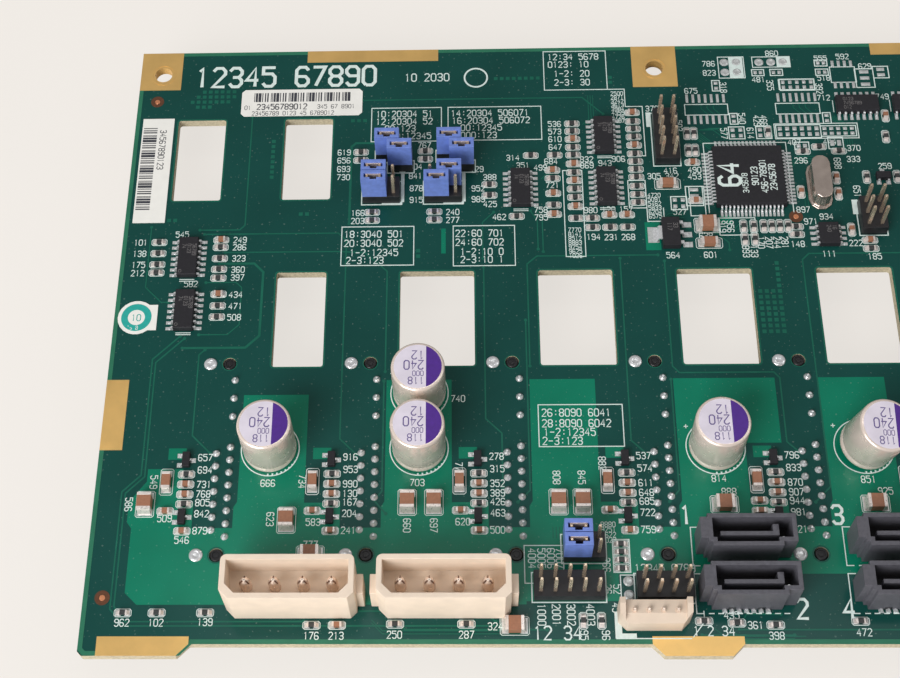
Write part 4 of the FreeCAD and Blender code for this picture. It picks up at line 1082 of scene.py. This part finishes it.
def bare_pads():
    """Pads of the footprints that carry no part."""
    pads = Shape()
    for left, top, columns, rows, step_x, step_v, width, height in PAD_GRIDS:
        for i in range(columns):
            for j in range(rows):
                x, v = left + i * step_x, top + j * step_v
                rings = [oblong(x, v, TOP, width, height), oblong(x, v, TOP + 0.08, width, height)]
                rings.append(oblong(x, v, TOP + 0.16, width * 0.55, height * 0.55))
                pads.loft(rings)
    for x, v in ROUND_PADS:
        pads.turned(x, v, ((0.95, TOP), (0.95, TOP + PAD), (0.62, TOP + 0.2), (0.4, TOP + 0.14)), count=20)
    pads.piece("bare_pads", [TINNED], "solder")


def cans():
    """Aluminium cans with a rolled foot, a crimp and a printed face."""
    foot = TOP + CAN_FOOT
    top = foot + CAN_HEIGHT
    profile = (
        (4.45, foot), (4.85, foot + 0.08), (5.0, foot + 0.35), (5.0, foot + 0.95), (4.86, foot + 1.15),
        (4.78, foot + 1.4), (4.86, foot + 1.65), (5.0, foot + 1.9), (5.0, top - 0.5), (4.93, top - 0.22),
        (4.75, top - 0.05), (4.55, top),
    )
    chord = math.acos(CHORD / FACE_RADIUS)
    body, prints, seals = Shape(), Shape(), Shape()
    for x, v, move in [(x, v, None) for x, v in CAN_PLACES] + [(*LEANING_CAN, leaned)]:
        body.move = prints.move = seals.move = move
        body.turned(x, v, profile, count=64)
        seals.turned(x, v, ((4.3, TOP), (4.3, foot + 0.1)), count=32)
        prints.turned(x, v, ((FACE_RADIUS, top - 0.02), (FACE_RADIUS, top + 0.006)), count=64)
        turns = [chord * (step / 12 - 1) for step in range(25)]
        segment = [(x + FACE_RADIUS * math.cos(turn), v + FACE_RADIUS * math.sin(turn)) for turn in turns]
        prints.prism(segment, top, top + 0.012, kind=1)
        for text, rise, height in CAN_TEXT:
            prints.figures(text, x + CHORD - 0.5, v + rise, height, 180, high=0.014, kind=2, base=top)
    body.piece("can_shells", [ALUMINIUM], "can_aluminium", ("capacitor_cans",))
    seals.piece("can_seals", [RUBBER], "seal_rubber", ("capacitor_seals", "leaning_capacitor_seal"))
    prints.piece("can_prints", [CAN_FACE, PURPLE, PURPLE_INK], "can_aluminium", smooth=CRISP)


def solder_joints():
    """Solder on the receptacles' tails and posts, the tips of their pegs, and the joints below the board."""
    joints = Shape()
    for x, v in tail_places():
        joints.turned(x, v, TAIL_JOINT, count=14)
    joints.piece("tail_joints", [SOLDER], "solder", ("drive_contact_tails",))

    posts, rings, tips = Shape(), Shape(), Shape()
    for x, v in peg_places():
        posts.turned(x + POST_OFFSET, v, POST_JOINT)
        rings.ring(x, v, 1.42, 0.16, COPPER)
        tips.turned(x, v, PEG_TIP, count=28)
    posts.piece("post_joints", [SOLDER], "solder", ("retention_posts",))
    rings.piece("peg_rings", [MASK_TRACE], "laminate")
    tips.piece("peg_tips", [RECEPTACLE], "receptacle_black")

    below = Shape()
    places = [(x, v, 0.62) for x, v in header_pins() + wire_pins() + port_tails()]
    places += [(x, v, 1.25) for x, v in power_pins()]
    places += [(x + side, v, 0.75) for x, v in CAN_PLACES + (LEANING_CAN,) for side in (-1.75, 1.75)]
    for x, v, radius in places:
        below.turned(x, v, [(radius * share, UNDER - drop) for share, drop in LOWER_JOINT], count=12)
    below.piece("lower_joints", [SOLDER], "solder")


def header_pins():
    """Every pin of the pin headers."""
    return [
        (x + column * GRID, v + row * GRID)
        for x, v, columns, rows, bare in HEADERS
        for row in range(rows)
        for column in range(columns)
        if (column, row) not in bare
    ]


def wire_pins():
    """The wire header's four pins."""
    x, v = WIRE_HEADER
    return [(x + (step - 1.5) * WIRE_PITCH, v) for step in range(4)]


def power_pins():
    """The power headers' pins."""
    return [(x + (step - 1.5) * POWER_PITCH, v) for x, v in POWER_HEADERS for step in range(4)]


def port_places():
    """The middle of every serial port."""
    return per_bay([(PORT_OFFSET, drop) for drop in PORT_DROPS], PORT_BAYS)


def port_tails():
    """The serial ports' seven tails, in a row along each port's front."""
    return [
        (x - 0.95 + (step - 3) * CONTACT_PITCH, v + 3.55)
        for x, v in port_places()
        for step in range(DATA_CONTACTS)
    ]


def connectors():
    """Ports, headers and their pins, with rounded edges, the detail inside them, painted shade inside the
    serial ports and painted shade in the creases of the power pins' tips.
    """
    softened("drive_receptacles", RECEPTACLE, 0.2)
    softened("serial_port_housings", PORT, 0.12)
    softened("power_header_housings", NYLON, 0.35)
    # The wire header takes the darker copy of the nylon, which is painted shade.
    softened("wire_header_housing", NYLON_SHADED, 0.2)
    softened("pin_header_bases", BLACK, 0.12)
    softened("jumper_shunts", BLUE, 0.12)
    softened("shunt_clips", TIN, 0.04)

    pins = Shape()
    base, top = TOP + 2.4, TOP + 8.4
    for x, v in header_pins():
        rings = [(0.46, top), (0.64, top - 0.35), (0.64, base)]
        pins.loft([oblong(x, v, z, side, side) for side, z in rings])
    pins.piece("header_pins", [GOLD_PIN], "gold_pin", ("pin_header_pins",), bevel=0.05)

    tin = Shape()
    for x, v in wire_pins():
        top = TOP + 6.1
        rings = ((0.42, top), (0.64, top - 0.3), (0.64, TOP + 4.9))
        tin.loft([oblong(x, v, z, side, side) for side, z in rings])
    tin.piece("wire_pins", [TIN], "tin_pin", ("wire_header_pins",), bevel=0.05)

    power = Shape()
    for x, v in power_pins():
        top = TOP + 9.1
        power.turned(x, v, ((0.94, top - 1.25), (1.05, top - 1.5), (1.05, TOP + 4.9)), count=28)
        facets = []
        for radius, z in ((0.3, top), (0.75, top - 0.35), (0.98, top - 1.25)):
            ring = circle(x, v, z, radius, 12, math.radians(30))
            facets.append([(a, b, z - (0.12 if i % 4 == 0 else 0.0)) for i, (a, b, _) in enumerate(ring)])
        power.loft(facets)
        # Thin strips in the brown laminate finish along the creases between the tip's facets: painted shade
        # in the creases.
        for turn in (90, 210, 330):
            way = (math.cos(math.radians(turn)), -math.sin(math.radians(turn)))
            slot = ((0.0, top), (0.5, top - 0.1), (0.9, top - 0.7))
            power.loft([oblong(x + way[0] * out, v + way[1] * out, z, 0.16, 0.16) for out, z in slot], 1)
    power.piece("power_pins", [TIN, BARE_AND_CREASE_SHADE], "tin_pin", ("power_header_pins",), smooth=LEADS)

    blades_and_shade, tails = Shape(), Shape()
    for x, v in port_places():
        tongue_x, tongue_v = x - 0.4, v + 0.8
        for step in range(DATA_CONTACTS):
            contact = tongue_x + (step - 3) * CONTACT_PITCH
            blades_and_shade.box(contact, tongue_v - 0.43, (0.55, 0.1, 4.6), PORT_FLOOR)
        # Dark sheets on each port's floor and two dark patches low on its front, in the black plastic finish:
        # painted shade in the port's recess and under its front.
        blades_and_shade.box(x, v, (13.8, 3.5, 0.04), PORT_FLOOR, kind=2)
        blades_and_shade.box(x - 0.9, v + 2.2, (10.6, 0.9, 0.05), PORT_FLOOR, kind=2)
        blades_and_shade.box(x + 5.3, v + 2.0, (0.35, 0.9, 0.2), TOP + 7.7, kind=1)
        for side in (-3.6, 1.6):
            blades_and_shade.box(x + side, v + 3.4, (1.3, 0.06, 1.1), TOP + 0.1, kind=2)
    for x, v in port_tails():
        rings = ((0.95, TOP), (0.75, TOP + 0.25), (0.15, TOP + 0.85))
        tails.loft([oblong(x, v, z, side, side) for side, z in rings])
    blades_and_shade.piece("port_contacts_and_painted_shade", [GOLD_PIN, SOLDER, BLACK], "gold_pin", smooth=CRISP)
    tails.piece("port_tails", [SOLDER], "solder", smooth=CRISP)

    contacts = Shape()
    steps = [FIRST_CONTACT + CONTACT_PITCH * step for step in range(DATA_CONTACTS)]
    steps += [POWER_CONTACT + CONTACT_PITCH * step for step in range(POWER_CONTACTS)]
    for x, v in per_bay([(0.98, step) for step in steps]):
        contacts.box(x, v, (0.3, 0.6, 5.0), 0.5)
    contacts.piece("receptacle_contacts", [GOLD_PIN], "gold_pin", bevel=0.05)


def gull(shape, x, v, out_x, out_v, width, rise, reach, thickness=0.16):
    """One bent lead, from the body's side at (x, v) out and down to its pad."""
    bends = (
        (-0.15, rise), (0.3 * reach, rise), (0.42 * reach, rise - 0.06), (0.58 * reach, 0.12),
        (0.7 * reach, 0.05), (reach, 0.05),
    )
    rings = []
    for out, height in bends:
        cx, cv = x + out_x * out, v + out_v * out
        ax, av = out_v * width / 2, out_x * width / 2
        low, high = TOP + height, TOP + height + thickness
        one, other = (cx - ax, cv - av), (cx + ax, cv + av)
        rings.append([(*one, low), (*other, low), (*other, high), (*one, high)])
    shape.loft(rings)


def small_outline(leads, pads, x, v, tall, count):
    """Leads and pads along both long sides of a chip."""
    pitch, half, reach, width, rise = SMALL_OUTLINE
    for step in range(count):
        along = (step - (count - 1) / 2) * pitch
        for side in (-1, 1):
            spot = (x + side * half, v + along) if tall else (x + along, v + side * half)
            out = (side, 0) if tall else (0, side)
            gull(leads, *spot, *out, width, rise, reach)
            pad_x, pad_v = spot[0] + out[0] * reach * 0.75, spot[1] + out[1] * reach * 0.75
            size = (1.5, width + 0.25) if tall else (width + 0.25, 1.5)
            pads.box(pad_x, pad_v, (*size, PAD))


def chips():
    """Moulded chips with bent leads, pin marks and rows of print."""
    for node in MOULDED:
        softened(node, CHIP, 0.1)
    softened("crystal", STEEL, 0.35)
    leads, pads = Shape(), Shape()
    for places, tall, count in ((LOGIC_TALL, True, 7), (LOGIC_WIDE, False, 7), ((MEMORY,), True, 4)):
        for x, v in places:
            small_outline(leads, pads, x, v, tall, count)
    leads.piece("logic_leads", [SOLDER], "solder", smooth=LEADS)

    quad = Shape()
    x, v = CONTROLLER
    half, pad, count, pitch = CONTROLLER_LEADS
    for step in range(count):
        along = (step - (count - 1) / 2) * pitch
        for side in (-1, 1):
            gull(quad, x + side * half, v + along, side, 0, 0.34, 0.8, 1.45)
            gull(quad, x + along, v + side * half, 0, side, 0.34, 0.8, 1.45)
            pads.box(x + side * pad, v + along, (1.6, 0.5, PAD))
            pads.box(x + along, v + side * pad, (0.5, 1.6, PAD))
    quad.piece("controller_gull_leads", [SOLDER], "solder", ("controller_leads",), smooth=LEADS)

    x, v = RESET
    small = Shape()
    for column, side in RESET_LEADS:
        gull(small, x + column, v + side * 0.8, 0, side, 0.42, 0.45, 0.75)
        pads.box(x + column, v + side * 1.35, (0.9, 1.0, PAD))
    for x, v in per_bay(BAY_DIODES):
        for row, side in DIODE_LEADS:
            gull(small, x + side * 0.7, v + row, side, 0, 0.42, 0.45, 0.65)
            pads.box(x + side * 1.25, v + row, (1.0, 0.9, PAD))
    small.piece("small_leads", [SOLDER], "solder", smooth=LEADS)

    tab = Shape()
    x, v = REGULATOR
    for row in (-2.3, 0.0, 2.3):
        gull(tab, x + 1.75, v + row, 1, 0, 0.7, 0.85, 1.75, 0.28)
        pads.box(x + 3.3, v + row, (1.9, 1.2, PAD))
    gull(tab, x - 1.75, v, -1, 0, 3.0, 0.85, 1.75, 0.28)
    pads.box(x - 3.4, v, (2.2, 3.6, PAD))
    tab.piece("regulator_gull_leads", [SOLDER], "solder", ("regulator_leads",), smooth=LEADS)
    pads.piece("chip_pads", [TINNED], "solder")
    chip_print()


def roof(node):
    """The height of a node's top."""
    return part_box(node)[1].z / MM


def chip_print():
    """Rows of plain numbers on the chips, the pin marks, and the crystal's marking."""
    dim, bright = Shape(), Shape()
    for node, places, texts, left, foot, across, down, height, turn in CHIP_TEXT:
        base = roof(node)
        for x, v in places:
            for row, text in enumerate(texts):
                spot = (x + left + across * row, v + foot + down * row)
                dim.figures(text, *spot, height, turn, high=CHIP_INK, base=base)
            if places is LOGIC_TALL:
                dim.ring(x - 1.3, v + 3.6, 0.3, 0.08, base - TOP + CHIP_INK, count=16)
    x, v = CONTROLLER
    base = roof("controller_chip")
    for text, left, foot, height, weight in CONTROLLER_TEXT:
        bright.figures(text, x + left, v + foot, height, 90, weight, CHIP_INK, base=base)
    for left, foot, radius in ((5.2, -6.1, 0.8), (-4.8, 4.0, 0.3)):
        dim.turned(x + left, v + foot, ((radius, base - 0.02), (radius, base + CHIP_INK)), kind=1)
    dim.piece("dim_chip_print", [CHIP_PRINT, BLACK], "chip_black", smooth=CRISP)
    bright.piece("controller_print", [LEGEND], "chip_black", smooth=CRISP)


def small_part(shape, x, v, size, tall, cap):
    """A small ceramic or resistor: body, wrapped ends, solder fillets and pads."""
    length, width, height = size
    foot = TOP + PART_LIFT

    def turned(dx, dv):
        return (x + dv, v + dx) if tall else (x + dx, v + dv)

    def lump(middle, long, across, low, high, kind, tip_long=None, tip_shift=0.0):
        rings = []
        for z, reach, shift in ((low, long, 0.0), (high, tip_long or long, tip_shift)):
            a, b = reach / 2, across / 2
            corners = ((-a, -b), (a, -b), (a, b), (-a, b))
            rings.append([(*turned(middle + shift + dx, dv), z) for dx, dv in corners])
        shape.loft(rings, kind)

    lump(0, length - 2 * cap, width, foot, foot + height, 0)
    for side in (-1, 1):
        lump(side * (length - cap) / 2, cap, width + 0.04, foot - 0.02, foot + height + 0.02, 1)
        fillet = foot + height * 0.7
        lump(side * (length / 2 + 0.2), 0.5, width * 0.9, TOP + 0.04, fillet, 1, 0.08, -side * 0.2)
        lump(side * (length / 2 + 0.02), cap + 0.75, width + 0.3, TOP, TOP + PAD, 2)


def small_parts():
    """Resistors and ceramics, and the finished bodies of the larger ceramics."""
    for name, body, slot, replaces, size, cap, bevel, groups in (
        (
            "chip_resistors", DARK, "resistor_dark", (), RESISTOR, 0.3, 0.03,
            ((RESISTORS_WIDE, False), (RESISTORS_TALL, True), (bay_resistors(), False)),
        ),
        (
            "small_ceramics", BROWN, "ceramic_brown", (), CERAMIC, 0.35, 0.04,
            ((CERAMICS_WIDE + bay_ceramics(), False), (CERAMICS_TALL, True)),
        ),
        (
            "bulk_ceramic_parts", BROWN, "ceramic_brown", ("bulk_ceramics",), BULK, 0.55, 0.08,
            ((BULK_TALL, True), (wide_bulk(), False)),
        ),
        (
            "long_ceramic_parts", BROWN, "ceramic_brown", ("long_ceramics",), LONG, 0.5, 0.06,
            ((per_bay((BAY_LONG,)), True), (LONG_WIDE, False)),
        ),
    ):
        shape = Shape()
        for places, tall in groups:
            for x, v in places:
                small_part(shape, x, v, size, tall, cap)
        shape.piece(name, [body, TERMINAL, TINNED], slot, replaces, bevel)


def leaned(point):
    """A point of an upright can moved to the leaning can's pose."""
    x, v = LEANING_CAN
    towards = Vector((math.cos(LEAN_HEADING), math.sin(LEAN_HEADING), 0))
    pivot = Vector((x, -v, TOP)) + towards * LEAN_PIVOT
    turn = Matrix.Rotation(LEAN, 3, Vector((0, 0, 1)).cross(towards))
    moved = pivot + turn @ (Vector((point[0], -point[1], point[2])) - pivot)
    return moved.x, -moved.y, moved.z


def pale_floor():
    """The floor's finish: the camera sees most of its own colour, and the object's shadow on the rest."""
    material = finish("floor", "#f1ece6", 0.7, spread=0.01, grain=60.0, level=0.2)
    nodes, links = material.node_tree.nodes, material.node_tree.links
    glow = add_node(material, "Emission", (("Color", (*colour("#f3eee8"), 1)),))
    seen = add_node(material, "LightPath").outputs["Is Camera Ray"]
    share = add_node(material, "Math", ((1, FLOOR_GLOW),), ((0, seen),))
    share.operation = "MULTIPLY"
    feeds = (
        ("Fac", share.outputs["Value"]),
        (1, nodes["Principled BSDF"].outputs["BSDF"]),
        (2, glow.outputs["Emission"]),
    )
    blend = add_node(material, "MixShader", feeds=feeds)
    links.new(blend.outputs["Shader"], nodes["Material Output"].inputs["Surface"])
    return material


def stage():
    """A plain pale floor, soft light and the camera."""
    floor = bpy.data.meshes.new("floor")
    half = FLOOR_HALF
    corners = [(-half, -half, 0), (half, -half, 0), (half, half, 0), (-half, half, 0)]
    floor.from_pydata(corners, [], [(0, 1, 2, 3)])
    table = bpy.data.objects.new("floor", floor)
    floor.materials.append(pale_floor())
    bpy.context.scene.collection.objects.link(table)

    world = bpy.data.worlds.new("studio")
    world.use_nodes = True
    world.node_tree.nodes["Background"].inputs["Color"].default_value = SKY
    world.node_tree.nodes["Background"].inputs["Strength"].default_value = SKY_STRENGTH
    bpy.context.scene.world = world
    for name, place, length, depth, watts in LAMPS:
        light = bpy.data.lights.new(name, "AREA")
        light.shape = "RECTANGLE" if depth else "SQUARE"
        light.size = length
        light.size_y = depth or light.size_y
        light.energy = watts
        lamp = bpy.data.objects.new(name, light)
        lamp.location = place
        lamp.rotation_euler = (-Vector(place)).to_track_quat("-Z", "Y").to_euler()
        bpy.context.scene.collection.objects.link(lamp)

    lens = bpy.data.cameras.new("camera")
    lens.sensor_width = SENSOR
    lens.lens = LENS
    lens.shift_x, lens.shift_y = LENS_SHIFT
    camera = bpy.data.objects.new("camera", lens)
    camera.location = CAMERA_PLACE
    camera.rotation_euler = Euler([math.radians(turn) for turn in CAMERA_TURN])
    bpy.context.scene.collection.objects.link(camera)
    bpy.context.scene.camera = camera
    bpy.context.scene.view_settings.view_transform = "Standard"


def carried_over():
    """Finishes on the CAD nodes that no piece replaces."""
    finishes = {"edge_lands": GOLD, "wide_label": PAPER, "tall_label": PAPER, "round_label": PAPER}
    for node, material in finishes.items():
        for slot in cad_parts[node].material_slots:
            slot.material = material


stage()
board()
copper()
legend()
labels()
bare_pads()
cans()
solder_joints()
connectors()
chips()
small_parts()
carried_over()
